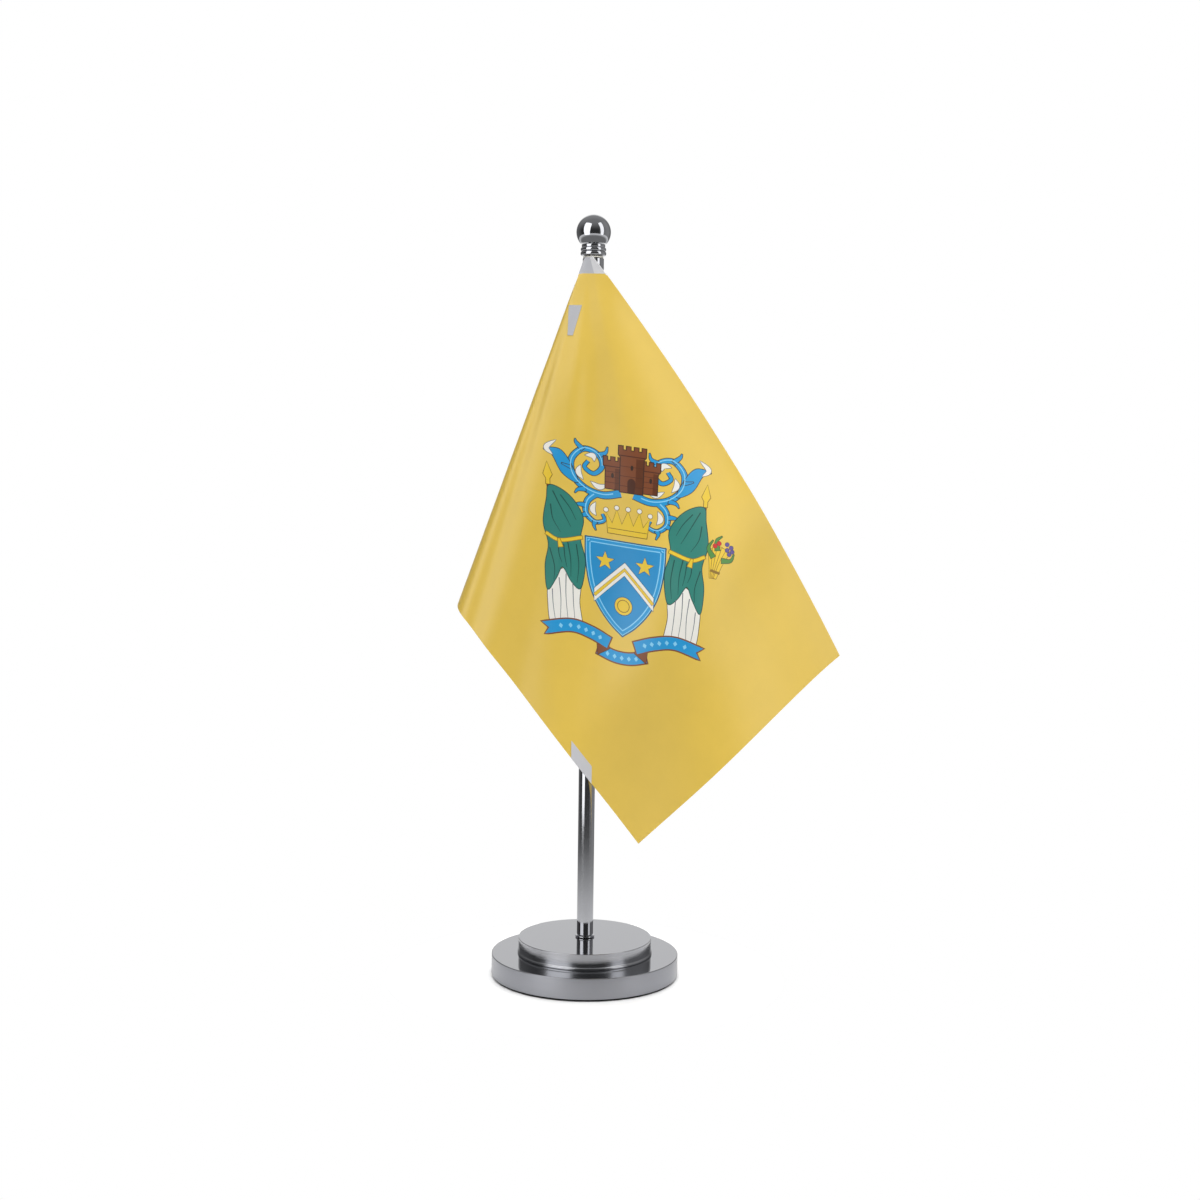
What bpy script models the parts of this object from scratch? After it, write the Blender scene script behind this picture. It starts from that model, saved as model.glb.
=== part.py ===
"""Desk flag stand: two stacked steel discs, a screwed-in pole, a ball finial and a satin flag.

Metres, +Z up. The origin is the centre of the foot pad's underside, and the pole stands on the Z axis.
The flag hangs from its top hoist corner: a front layer in front of the pole, a round fold at the left,
and a back layer that returns to the sleeve on the pole.
"""

import bpy
import bmesh
import numpy as np
from math import atan, atan2, cos, hypot, pi, radians, sin, sqrt, tan
from mathutils import Vector

# ---- clearances -------------------------------------------------------------
GAP = 0.0003            # between pieces that touch on the real stand
SEGMENTS = 64           # steps of a large turned piece
SMALL_SEGMENTS = 32     # steps of a small turned piece

# ---- base -------------------------------------------------------------------
PAD_THICK = 0.0006
PAD_INSET = 0.0008      # from the lower disc's side
LOWER_RADIUS = 0.0400
LOWER_HEIGHT = 0.0089
LOWER_WALL = 0.0010
UPPER_RADIUS = 0.0285
UPPER_HEIGHT = 0.0065
UPPER_WALL = 0.0008
EDGE_ROUND = 0.0003     # rounded rim of both covers

# ---- screws -----------------------------------------------------------------
THREAD_RADIUS = 0.0020  # M4
HEX_ACROSS_FLATS = 0.0070
HEAD_HEIGHT = 0.0028
NUT_HEIGHT = 0.0028
SCREW_WASHER_RADIUS = 0.0045
SCREW_WASHER_THICK = 0.0008
SCREW_ENGAGEMENT = 0.0075

# ---- pole -------------------------------------------------------------------
POLE_RADIUS = 0.0035
POLE_LENGTH = 0.2869
FOOT_WASHER_RIM = 0.0006     # beyond the pole
FOOT_WASHER_THICK = 0.0005

# ---- finial -----------------------------------------------------------------
FERRULE_WALL = 0.00065
FERRULE_HEIGHT = 0.0054
FINIAL_WASHER_INSET = 0.00025
FINIAL_WASHER_THICK = 0.0005
RING_RIMS = (0.00095, 0.0009, 0.0005)        # bottom, middle and top ring, beyond the ferrule
RING_HEIGHTS = (0.0018, 0.0016, 0.0014)
GROOVE_RIM = 0.00015                         # the grooves between them, beyond the ferrule
BALL_NECK_RIM = 0.0011                       # the ball's flat seat, beyond the ferrule
BALL_RADIUS = 0.00725
BALL_SEAT_DEPTH = 0.0025                     # how deep the finial stud goes into the ball

# ---- flag -------------------------------------------------------------------
FLAG_WIDTH = 0.210      # along the top edge, cut size
FLAG_DROP = 0.140       # along the hoist, cut size
CLOTH_THICK = 0.0005
APEX_LEFT = 0.0022      # the fanning point of the folds, left of the pole axis
APEX_ABOVE_SEAT = 0.0024     # and above the collar's underside
FRONT_CLEAR = 0.0006    # between the front layer and the ferrule
CORNER_CUT = 0.0034     # length lost at the top corner of the front layer
FLY_ANGLE = radians(33.2)    # top edge, from straight down towards the right
FLY_SHORTENING = 0.9738      # its length as seen from the front, over its cut length
POINT_ANGLE = radians(5.6)   # lowest corner
POINT_SHORTENING = 0.9913    # the diagonal to it, in the same way
FOLD_ANGLE = radians(-19.7)  # left fold
FOLD_SHORTENING = 0.9946
FLAT_FOLD_EDGE = radians(61.0)   # the fold's outermost line, on the flat cloth
FOLD_ROUND = radians(2.2)    # half the depth of the fold, as an angle at the apex
FLY_BOW = 0.0046        # the top edge bows outwards by this much
HEM_HOLLOW = 0.0022     # and the fly edge is a little hollow
BACK_BULGE = radians(5.0)    # how far the back layer swells behind
LEAN_LENGTH = 0.035     # the folds open out over this length below the corner
HOIST_CLEAR = 0.00035   # between the hoist edge and the sleeve
HOIST_BEHIND = 0.0010   # the hoist edge, behind the pole axis
SLEEVE_WALL = 0.0004
RING_MINOR = 0.00075    # rubber ring under the sleeve

# ---- keeper and label -------------------------------------------------------
KEEPER_HEIGHT = 0.0065
KEEPER_ABOVE_EDGE = 0.0020   # its foot, above the cloth's lower edge at the loop's left side
KEEPER_WALL = 0.0005
PATCH_MIDDLE = -0.00235      # across, from the pole axis
PATCH_WIDTH = 0.0087
PATCH_HEIGHT = 0.0075
LABEL_BELOW_APEX = 0.0232
LABEL_HEIGHT = 0.0125
LABEL_TOP_WIDTH = 0.0054
LABEL_FOOT_WIDTH = 0.0022

# ---- heights that follow ----------------------------------------------------
LOWER_FLOOR = PAD_THICK + GAP
LOWER_TOP = LOWER_FLOOR + LOWER_HEIGHT
PAD_RADIUS = LOWER_RADIUS - PAD_INSET
UPPER_FLOOR = LOWER_TOP + GAP
UPPER_TOP = UPPER_FLOOR + UPPER_HEIGHT
POLE_FOOT = UPPER_TOP + FOOT_WASHER_THICK + 2 * GAP
POLE_TOP = POLE_FOOT + POLE_LENGTH
FERRULE_RADIUS = POLE_RADIUS + GAP + FERRULE_WALL
WASHER_FLOOR = POLE_TOP + GAP
COLLAR_FLOOR = WASHER_FLOOR + FINIAL_WASHER_THICK + GAP
COLLAR_TOP = COLLAR_FLOOR + sum(RING_HEIGHTS)
SCREW_BORE = THREAD_RADIUS + GAP
FERRULE_FLOOR = POLE_TOP - FERRULE_HEIGHT
FRONT_OFFSET = FERRULE_RADIUS + FRONT_CLEAR + CLOTH_THICK / 2
APEX = Vector((-APEX_LEFT, -FRONT_OFFSET, COLLAR_FLOOR + APEX_ABOVE_SEAT))
FLY_REACH = FLAG_WIDTH * FLY_SHORTENING
POINT_REACH = hypot(FLAG_WIDTH, FLAG_DROP) * POINT_SHORTENING
FOLD_REACH = FLAG_DROP / sin(FLAT_FOLD_EDGE) * FOLD_SHORTENING
SLEEVE_TOP = FERRULE_FLOOR - GAP
SLEEVE_RADIUS = POLE_RADIUS + GAP + SLEEVE_WALL
SLEEVE_FLOOR = APEX.z - FLAG_DROP + GAP
HOIST_LEFT = SLEEVE_RADIUS + HOIST_CLEAR + CLOTH_THICK / 2
RING_CENTRE = SLEEVE_FLOOR - GAP - RING_MINOR


# ---- scene, materials and placing -------------------------------------------
def clear_scene():
    for old in list(bpy.data.objects):
        bpy.data.objects.remove(old, do_unlink=True)


def new_collection(name):
    collection = bpy.data.collections.new(name)
    bpy.context.scene.collection.children.link(collection)
    return collection


def new_material(name, colour, metallic, roughness):
    material = bpy.data.materials.new(name)
    material.use_nodes = True
    shader = material.node_tree.nodes["Principled BSDF"]
    shader.inputs["Base Color"].default_value = (*colour, 1.0)
    shader.inputs["Metallic"].default_value = metallic
    shader.inputs["Roughness"].default_value = roughness
    return material


clear_scene()
PARTS = new_collection("desk_flag_stand")
CUTTERS = new_collection("cutters")
SATIN_STEEL = new_material("satin_steel", (0.45, 0.45, 0.47), 1.0, 0.35)
MIRROR_STEEL = new_material("mirror_steel", (0.60, 0.60, 0.62), 1.0, 0.08)
CAST_IRON = new_material("cast_iron", (0.06, 0.06, 0.065), 0.8, 0.65)
ZINC = new_material("zinc_plated_steel", (0.50, 0.50, 0.48), 1.0, 0.30)
BLACK_RUBBER = new_material("black_rubber", (0.01, 0.01, 0.01), 0.0, 0.80)
NYLON = new_material("natural_nylon", (0.75, 0.73, 0.66), 0.0, 0.45)
GOLD_SATIN = new_material("gold_satin", (0.72, 0.53, 0.12), 0.0, 0.45)
GREY_SATIN = new_material("grey_satin", (0.48, 0.49, 0.51), 0.0, 0.45)


def add_object(name, mesh, material, collection=None):
    obj = bpy.data.objects.new(name, mesh)
    (collection or PARTS).objects.link(obj)
    obj.data.materials.append(material)
    return obj


def smooth(obj):
    obj.data.shade_smooth()
    obj.data.set_sharp_from_angle(angle=radians(35))


def new_axis(name, height):
    """An empty on the pole's axis, which the pieces that turn or slide together hang from."""
    axis = bpy.data.objects.new(name, None)
    axis.location = (0.0, 0.0, height)
    axis.empty_display_size = 0.01
    PARTS.objects.link(axis)
    return axis


def hang(obj, axis):
    """Parents a piece that is placed in world space to an axis, and keeps it in place."""
    obj.parent = axis
    obj.matrix_parent_inverse = axis.matrix_basis.inverted()


# ---- turned pieces ----------------------------------------------------------
def arc(centre_x, centre_z, radius, start, end, steps):
    """Points of a round stretch of a profile. Angles are in degrees from +X towards +Z."""
    angles = [radians(start + (end - start) * i / steps) for i in range(steps + 1)]
    return [(centre_x + radius * cos(a), centre_z + radius * sin(a)) for a in angles]


def turned(name, profile, material, closed, segments=SEGMENTS, base=0.0, collection=None):
    """Turns a profile about the Z axis. It runs down its outer side, from top to bottom."""
    mesh = bpy.data.meshes.new(name)
    points = [(x, 0.0, z) for x, z in profile]
    edges = [(i, i + 1) for i in range(len(points) - 1)]
    if closed:
        edges.append((len(points) - 1, 0))
    mesh.from_pydata(points, edges, [])
    obj = add_object(name, mesh, material, collection)
    obj.location.z = base
    screw = obj.modifiers.new("turn", "SCREW")
    screw.axis = "Z"
    screw.angle = 2 * pi
    screw.steps = screw.render_steps = segments
    screw.use_merge_vertices = True
    screw.merge_threshold = 0.00001
    screw.use_smooth_shade = True
    return obj


def washer(name, inner, outer, floor, thick, material, segments=SMALL_SEGMENTS):
    profile = [(inner, thick), (outer, thick), (outer, 0.0), (inner, 0.0)]
    return turned(name, profile, material, True, segments, floor)


def cover(name, radius, height, wall, bore, floor, material):
    """A spun cap that is open below, with a rounded rim and a hole for the screw."""
    inside = radius - wall
    profile = [(bore, height)]
    profile += arc(radius - EDGE_ROUND, height - EDGE_ROUND, EDGE_ROUND, 90, 0, 4)
    profile += [(radius, 0.0), (inside, 0.0), (inside, height - wall), (bore, height - wall)]
    return turned(name, profile, material, True, SEGMENTS, floor)


# ---- hexagons ---------------------------------------------------------------
def hexagon(name, height, floor, material, collection=None):
    mesh = bpy.data.meshes.new(name)
    shape = bmesh.new()
    corner = HEX_ACROSS_FLATS / 2 / cos(radians(30))
    bmesh.ops.create_cone(
        shape, cap_ends=True, segments=6, radius1=corner, radius2=corner, depth=height
    )
    bmesh.ops.translate(shape, verts=shape.verts, vec=(0.0, 0.0, height / 2))
    shape.to_mesh(mesh)
    shape.free()
    obj = add_object(name, mesh, material, collection)
    obj.location.z = floor
    return obj


def combine(obj, other, operation):
    """Joins or cuts with a helper, which is hidden in a render."""
    other.hide_render = True
    other.display_type = "WIRE"
    boolean = obj.modifiers.new(operation.lower(), "BOOLEAN")
    boolean.operation = operation
    boolean.object = other
    boolean.solver = "EXACT"


def rod_profile(radius, height, chamfer):
    return [(0.0, height), (radius - chamfer, height), (radius, height - chamfer),
            (radius, chamfer), (radius - chamfer, 0.0), (0.0, 0.0)]


# ---- base -------------------------------------------------------------------
def make_foot_pad():
    turned("foot_pad", rod_profile(PAD_RADIUS, PAD_THICK, 0.0001), BLACK_RUBBER, False)


def make_lower_disc():
    cover("base_lower_cover", LOWER_RADIUS, LOWER_HEIGHT, LOWER_WALL, SCREW_BORE, LOWER_FLOOR,
          SATIN_STEEL)
    radius = LOWER_RADIUS - LOWER_WALL - GAP
    height = LOWER_HEIGHT - LOWER_WALL - GAP
    recess_radius = SCREW_WASHER_RADIUS + 2 * GAP
    recess = HEAD_HEIGHT + SCREW_WASHER_THICK + 3 * GAP
    profile = [(SCREW_BORE, height), (radius, height), (radius, 0.0), (recess_radius, 0.0),
               (recess_radius, recess), (SCREW_BORE, recess)]
    turned("base_lower_ballast", profile, CAST_IRON, True, SEGMENTS, LOWER_FLOOR)


def make_upper_disc():
    cover("base_upper_cover", UPPER_RADIUS, UPPER_HEIGHT, UPPER_WALL, SCREW_BORE, UPPER_FLOOR,
          MIRROR_STEEL)
    radius = UPPER_RADIUS - UPPER_WALL - GAP
    height = UPPER_HEIGHT - UPPER_WALL - GAP
    pocket_radius = HEX_ACROSS_FLATS / 2 / cos(radians(30)) + GAP
    pocket = height - NUT_HEIGHT - GAP
    profile = [(pocket_radius, height), (radius, height), (radius, 0.0), (SCREW_BORE, 0.0),
               (SCREW_BORE, pocket), (pocket_radius, pocket)]
    turned("base_upper_ballast", profile, CAST_IRON, True, SEGMENTS, UPPER_FLOOR)


def make_base_screw():
    """Hexagon screw from below. It clamps both discs, and its end carries the pole."""
    head_floor = LOWER_FLOOR + GAP
    head = hexagon("base_screw", HEAD_HEIGHT, head_floor, ZINC)
    overlap = HEAD_HEIGHT / 2
    shank_height = POLE_FOOT + SCREW_ENGAGEMENT - head_floor - overlap
    shank = turned("screw_shank", rod_profile(THREAD_RADIUS, shank_height, 0.0004), ZINC, False,
                   SMALL_SEGMENTS, head_floor + overlap, CUTTERS)
    combine(head, shank, "UNION")
    washer("base_screw_washer", SCREW_BORE, SCREW_WASHER_RADIUS, head_floor + HEAD_HEIGHT + GAP,
           SCREW_WASHER_THICK, ZINC)


def make_base_locknut():
    floor = UPPER_TOP - UPPER_WALL - GAP - NUT_HEIGHT
    nut = hexagon("base_locknut", NUT_HEIGHT, floor, ZINC)
    bore = turned("nut_bore", rod_profile(SCREW_BORE, 2 * NUT_HEIGHT, 0.0001), ZINC, False,
                  SMALL_SEGMENTS, floor - NUT_HEIGHT / 2, CUTTERS)
    combine(nut, bore, "DIFFERENCE")


# ---- pole -------------------------------------------------------------------
def make_pole():
    """A solid rod, tapped at both ends, with a thin washer under it."""
    seat = new_axis("pole_unscrew_axis", UPPER_TOP)
    foot = washer("pole_foot_washer", SCREW_BORE, POLE_RADIUS + FOOT_WASHER_RIM, UPPER_TOP + GAP,
                  FOOT_WASHER_THICK, MIRROR_STEEL)
    tap = SCREW_ENGAGEMENT + 4 * GAP
    drill_point = SCREW_BORE / 3
    chamfer = 0.0002
    profile = [(0.0, POLE_LENGTH - tap - drill_point), (SCREW_BORE, POLE_LENGTH - tap),
               (SCREW_BORE, POLE_LENGTH), (POLE_RADIUS - chamfer, POLE_LENGTH),
               (POLE_RADIUS, POLE_LENGTH - chamfer), (POLE_RADIUS, chamfer),
               (POLE_RADIUS - chamfer, 0.0), (SCREW_BORE, 0.0), (SCREW_BORE, tap),
               (0.0, tap + drill_point)]
    rod = turned("pole_rod", profile, MIRROR_STEEL, False, SMALL_SEGMENTS, POLE_FOOT)
    for piece in (foot, rod):
        hang(piece, seat)
    return seat


# ---- finial -----------------------------------------------------------------
def make_ferrule(seat):
    profile = [(POLE_RADIUS + GAP, FERRULE_HEIGHT), (FERRULE_RADIUS, FERRULE_HEIGHT),
               (FERRULE_RADIUS, 0.0), (POLE_RADIUS + GAP, 0.0)]
    ferrule = turned("finial_ferrule", profile, MIRROR_STEEL, True, SMALL_SEGMENTS,
                     FERRULE_FLOOR)
    hang(ferrule, seat)


def collar_profile():
    """Three rings, from the top down, that meet in sharp grooves, around the stud's bore."""
    points = [(SCREW_BORE, COLLAR_TOP - COLLAR_FLOOR)]
    height = COLLAR_TOP - COLLAR_FLOOR
    groove = FERRULE_RADIUS + GROOVE_RIM
    steps = 5
    for rim, tall in zip(reversed(RING_RIMS), reversed(RING_HEIGHTS)):
        for i in range(steps + 1):
            turn = pi * i / steps
            bulge = groove + (rim - GROOVE_RIM) * sqrt(max(sin(turn), 0.0))
            if i or len(points) == 1:
                points.append((bulge, height - tall * (1 - cos(turn)) / 2))
        height -= tall
    points.append((SCREW_BORE, 0.0))
    return points


def make_finial():
    axis = new_axis("finial_unscrew_axis", COLLAR_FLOOR)
    pieces = [washer("finial_washer", SCREW_BORE, FERRULE_RADIUS - FINIAL_WASHER_INSET, WASHER_FLOOR,
                     FINIAL_WASHER_THICK, NYLON)]
    pieces.append(turned("finial_collar", collar_profile(), MIRROR_STEEL, True, SMALL_SEGMENTS,
                         COLLAR_FLOOR))
    seat = COLLAR_TOP + GAP
    neck_radius = FERRULE_RADIUS + BALL_NECK_RIM
    centre = seat + sqrt(BALL_RADIUS ** 2 - neck_radius ** 2)
    seat_angle = -atan((centre - seat) / neck_radius) * 180 / pi
    bore = BALL_SEAT_DEPTH + GAP
    profile = arc(0.0, centre - seat, BALL_RADIUS, 90, seat_angle, 16)
    profile += [(SCREW_BORE, 0.0), (SCREW_BORE, bore), (0.0, bore)]
    pieces.append(turned("finial_ball", profile, MIRROR_STEEL, False, SMALL_SEGMENTS, seat))
    stud_floor = POLE_TOP - SCREW_ENGAGEMENT
    stud_height = seat + BALL_SEAT_DEPTH - stud_floor
    pieces.append(turned("finial_stud", rod_profile(THREAD_RADIUS, stud_height, 0.0004), ZINC,
                         False, SMALL_SEGMENTS, stud_floor))
    for piece in pieces:
        hang(piece, axis)
    return axis


# ---- flag surface -----------------------------------------------------------
FLAT_POINT = atan2(FLAG_DROP, FLAG_WIDTH)           # flat angle of the lowest corner
FLAT_FOLD = FLAT_FOLD_EDGE - radians(2.4)           # flat angle where the fold starts
FLAT_RETURN = FLAT_FOLD + pi * FOLD_ROUND           # and where it ends
FLAT_HOIST = pi / 2
FOLD_START = FOLD_ANGLE + FOLD_ROUND


def depth_angle(angle):
    """How far the front layer leans back, as an angle at the apex, over its angle from straight down."""
    degree = angle * 180 / pi
    waves = ((-16.5, 3.0, -1.3), (-11.0, 3.0, 1.4), (-4.5, 4.0, -1.0), (13.5, 8.0, -1.9))
    lean = sum(size * np.exp(-((degree - place) / width) ** 2) for place, width, size in waves)
    lean += 9.5 / (1 + np.exp(-(degree - 28.0) / 4.0))
    return radians(lean)


def seam(start, end, angle):
    """Distance from the apex, at an angle, to the straight edge between two corners (angle, reach)."""
    x0, z0 = start[1] * sin(start[0]), start[1] * cos(start[0])
    x1, z1 = end[1] * sin(end[0]), end[1] * cos(end[0])
    return (x0 * z1 - x1 * z0) / (sin(angle) * (z1 - z0) - cos(angle) * (x1 - x0))


def ease(value):
    value = min(max(value, 0.0), 1.0)
    return value * value * (3 - 2 * value)


def flag_ray(flat):
    """Angle, lean, reach, start and offset of the ray at a flat angle, from the fly edge to the hoist."""
    fly, point, fold = (FLY_ANGLE, FLY_REACH), (POINT_ANGLE, POINT_REACH), (FOLD_ANGLE, FOLD_REACH)
    if flat <= FLAT_POINT:
        angle = FLY_ANGLE + (POINT_ANGLE - FLY_ANGLE) * flat / FLAT_POINT
        share = flat / FLAT_POINT
        reach = seam(fly, point, angle) - HEM_HOLLOW * 4 * share * (1 - share)
        return angle, depth_angle(angle), reach, CORNER_CUT, 0.0
    if flat <= FLAT_FOLD:
        share = (flat - FLAT_POINT) / (FLAT_FOLD - FLAT_POINT)
        angle = POINT_ANGLE + (FOLD_START - POINT_ANGLE) * share
        return angle, depth_angle(angle), seam(point, fold, angle), CORNER_CUT, 0.0
    start_reach = seam(point, fold, FOLD_START)
    start_flat = FLAG_DROP / sin(FLAT_FOLD)
    reach = start_reach + (FLAG_DROP / sin(flat) - start_flat)
    share = (flat - FLAT_FOLD) / (FLAT_HOIST - FLAT_FOLD)
    cut = CORNER_CUT + (APEX.z - SLEEVE_TOP - CORNER_CUT) * ease(2 * share)
    reach += (FLAG_DROP - 2 * GAP - start_reach - FLAG_DROP + start_flat) * share
    lean = depth_angle(FOLD_START)
    if flat <= FLAT_RETURN:
        turn = pi * (flat - FLAT_FOLD) / (FLAT_RETURN - FLAT_FOLD)
        angle = FOLD_START - FOLD_ROUND * sin(turn)
        return angle, lean + FOLD_ROUND * (1 - cos(turn)), reach, cut, share
    back = (flat - FLAT_RETURN) / (FLAT_HOIST - FLAT_RETURN)
    angle = FOLD_START * (1 - back)
    lean = (lean + 2 * FOLD_ROUND) * (1 - ease(back)) + BACK_BULGE * sin(pi * back) ** 1.5
    return angle, lean, reach, cut, share


def opened(distance):
    """Share of its full lean that the cloth has at a distance from the apex."""
    return ease(distance / LEAN_LENGTH)


def flag_point(flat, along):
    """A point of the cloth: flat angle at the top hoist corner, and share of the way to the lower edge."""
    angle, lean, reach, cut, share = flag_ray(flat)
    distance = cut + (reach - cut) * along
    bow = FLY_BOW * 4 * along * (1 - along) * ease(1 - flat / radians(26))
    slip = ease(share)
    x = distance * sin(angle) + bow * cos(angle) + slip * (APEX_LEFT - HOIST_LEFT)
    y = distance * tan(lean) * opened(distance) + slip * (FRONT_OFFSET + HOIST_BEHIND)
    z = -distance * cos(angle) + bow * sin(angle)
    return APEX + Vector((x, y, z))


def front_depth(x, z):
    """Y of the front layer at a place seen from the front."""
    across, down = x - APEX.x, APEX.z - z
    distance = hypot(across, down)
    return APEX.y + distance * tan(depth_angle(atan2(across, down))) * opened(distance)


def sheet(name, columns, rows, place, thick, material):
    """A thin sheet: a grid whose points are placed by a rule, made solid."""
    mesh = bpy.data.meshes.new(name)
    shape = bmesh.new()
    bmesh.ops.create_grid(shape, x_segments=columns, y_segments=rows, size=0.5)
    for vert in shape.verts:
        vert.co = place(vert.co.x + 0.5, vert.co.y + 0.5)
    bmesh.ops.recalc_face_normals(shape, faces=shape.faces)
    shape.to_mesh(mesh)
    shape.free()
    obj = add_object(name, mesh, material)
    solid = obj.modifiers.new("cloth", "SOLIDIFY")
    solid.thickness = thick
    solid.offset = 0.0
    smooth(obj)
    return obj


def make_flag_cloth():
    def place(across, down):
        return flag_point(FLAT_HOIST * across, down)

    return sheet("flag_cloth", 72, 10, place, CLOTH_THICK, GOLD_SATIN)


def make_flag_sleeve():
    height = SLEEVE_TOP - SLEEVE_FLOOR
    inner = POLE_RADIUS + GAP
    return washer("flag_sleeve", inner, SLEEVE_RADIUS, SLEEVE_FLOOR, height, GREY_SATIN)


# ---- keeper, patch and label ------------------------------------------------
def lower_edge(x):
    """Height of the flag's lower-left edge at a place across."""
    left = Vector((FOLD_REACH * sin(FOLD_ANGLE), -FOLD_REACH * cos(FOLD_ANGLE)))
    right = Vector((POINT_REACH * sin(POINT_ANGLE), -POINT_REACH * cos(POINT_ANGLE)))
    share = (x - APEX.x - left.x) / (right.x - left.x)
    return APEX.z + left.y + (right.y - left.y) * share


def ring_outline(curve, half_width, front, back, grow):
    """A closed outline around the pole: half round behind, straight sides, a flat front."""
    radius = half_width + grow
    points = [(radius * cos(pi * i / 12), back - half_width + radius * sin(pi * i / 12))
              for i in range(13)]
    points += [(-radius, front - grow), (radius, front - grow)]
    spline = curve.splines.new("POLY")
    spline.points.add(len(points) - 1)
    for point, (x, y) in zip(spline.points, points):
        point.co = (x, y, 0.0, 1.0)
    spline.use_cyclic_u = True


def make_keeper():
    """A ribbon loop behind the front layer, which holds it to the pole."""
    inner = POLE_RADIUS + GAP
    middle = lower_edge(-inner) + KEEPER_ABOVE_EDGE + KEEPER_HEIGHT / 2
    front = max(front_depth(x, middle) for x in (-inner, 0.0, inner))
    front += CLOTH_THICK / 2 + KEEPER_WALL + 2 * GAP
    curve = bpy.data.curves.new("flag_keeper", "CURVE")
    curve.dimensions = "2D"
    curve.fill_mode = "BOTH"
    curve.extrude = KEEPER_HEIGHT / 2
    ring_outline(curve, inner, front, inner, 0.0)
    ring_outline(curve, inner, front, inner, KEEPER_WALL)
    loop = add_object("flag_keeper", curve, GREY_SATIN)
    loop.location.z = middle
    return loop


def front_piece(name, place_xz, material):
    """A small thin piece that lies on the front layer."""
    lift = CLOTH_THICK + 2 * GAP

    def place(across, down):
        x, z = place_xz(across, down)
        return Vector((x, front_depth(x, z) - lift, z))

    return sheet(name, 4, 4, place, CLOTH_THICK, material)


def make_keeper_patch():
    def place_xz(across, down):
        x = PATCH_MIDDLE + PATCH_WIDTH * (across - 0.5)
        return x, lower_edge(x) + PATCH_HEIGHT * (1 - down)

    return front_piece("flag_keeper_patch", place_xz, GREY_SATIN)


def make_label():
    top = APEX.z - LABEL_BELOW_APEX

    def place_xz(across, down):
        z = top - LABEL_HEIGHT * down
        width = LABEL_TOP_WIDTH + (LABEL_FOOT_WIDTH - LABEL_TOP_WIDTH) * down
        edge = APEX.x + (APEX.z - top) * tan(FOLD_ANGLE) + 2 * GAP
        return edge - 0.0004 * down + width * across, z

    return front_piece("flag_label", place_xz, GREY_SATIN)


def make_stop_ring():
    """A rubber ring that grips the pole and carries the sleeve."""
    radius = POLE_RADIUS + GAP + RING_MINOR
    profile = arc(radius, 0.0, RING_MINOR, 90, -270 + 30, 11)
    return turned("sleeve_stop_ring", profile, BLACK_RUBBER, True, SMALL_SEGMENTS, RING_CENTRE)


def make_flag(seat):
    drop = new_axis("flag_drop_axis", RING_CENTRE)
    swivel = new_axis("flag_swivel_axis", SLEEVE_FLOOR)
    hang(make_stop_ring(), drop)
    pieces = (make_flag_cloth(), make_flag_sleeve(), make_keeper(), make_keeper_patch(), make_label())
    for piece in pieces:
        hang(piece, swivel)
    hang(swivel, drop)
    hang(drop, seat)


make_foot_pad()
make_lower_disc()
make_upper_disc()
make_base_screw()
make_base_locknut()
SEAT = make_pole()
make_ferrule(SEAT)
hang(make_finial(), SEAT)
make_flag(SEAT)
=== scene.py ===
from math import atan2, cos, hypot, pi, radians, sin, tan

import bmesh
import bpy
import numpy as np
from mathutils import Matrix, Vector
from mathutils.geometry import delaunay_2d_cdt


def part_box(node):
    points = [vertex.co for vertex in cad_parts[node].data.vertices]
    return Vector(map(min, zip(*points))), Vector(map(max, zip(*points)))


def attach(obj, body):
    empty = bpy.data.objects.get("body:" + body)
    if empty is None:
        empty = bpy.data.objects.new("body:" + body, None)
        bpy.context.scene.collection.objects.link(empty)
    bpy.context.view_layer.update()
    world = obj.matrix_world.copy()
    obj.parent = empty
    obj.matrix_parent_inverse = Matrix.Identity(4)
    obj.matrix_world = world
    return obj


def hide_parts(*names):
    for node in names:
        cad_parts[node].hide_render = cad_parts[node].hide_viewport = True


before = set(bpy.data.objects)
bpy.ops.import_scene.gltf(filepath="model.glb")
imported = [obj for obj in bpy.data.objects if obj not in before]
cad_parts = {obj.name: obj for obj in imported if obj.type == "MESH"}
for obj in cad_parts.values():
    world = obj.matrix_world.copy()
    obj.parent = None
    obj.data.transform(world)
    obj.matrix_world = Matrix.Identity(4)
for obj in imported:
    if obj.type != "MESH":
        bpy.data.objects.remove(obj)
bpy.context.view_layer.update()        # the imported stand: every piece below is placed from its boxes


# ---- foot pad ---------------------------------------------------------------
# A thin disc of black sponge rubber, die-cut and glued under the base. It keeps the steel off the desk.
MM = 0.001


def turned(name, outline, steps=128):
    """A piece from the lathe. The outline, as (radius, height), is drawn point by point and spun round."""
    bpy.ops.object.select_all(action="DESELECT")
    bpy.ops.mesh.primitive_plane_add(size=MM, location=(outline[0][0], 0, outline[0][1]))
    piece = bpy.context.object
    piece.name = piece.data.name = name
    bpy.ops.object.transform_apply(location=True)
    bpy.ops.object.mode_set(mode="EDIT")
    bpy.ops.mesh.merge(type="CENTER")
    for start, end in zip(outline, outline[1:]):
        step = (end[0] - start[0], 0, end[1] - start[1])
        bpy.ops.mesh.extrude_region_move(TRANSFORM_OT_translate={"value": step})
    bpy.ops.mesh.select_all(action="SELECT")
    bpy.ops.mesh.spin(steps=steps, angle=2 * pi, center=(0, 0, 0), axis=(0, 0, 1))
    bpy.ops.mesh.select_all(action="SELECT")
    bpy.ops.mesh.remove_doubles(threshold=MM / 1000)
    bpy.ops.mesh.normals_make_consistent(inside=False)
    bpy.ops.object.mode_set(mode="OBJECT")
    return piece


def select_only(piece):
    bpy.ops.object.select_all(action="DESELECT")
    bpy.context.view_layer.objects.active = piece
    piece.select_set(True)


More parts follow.
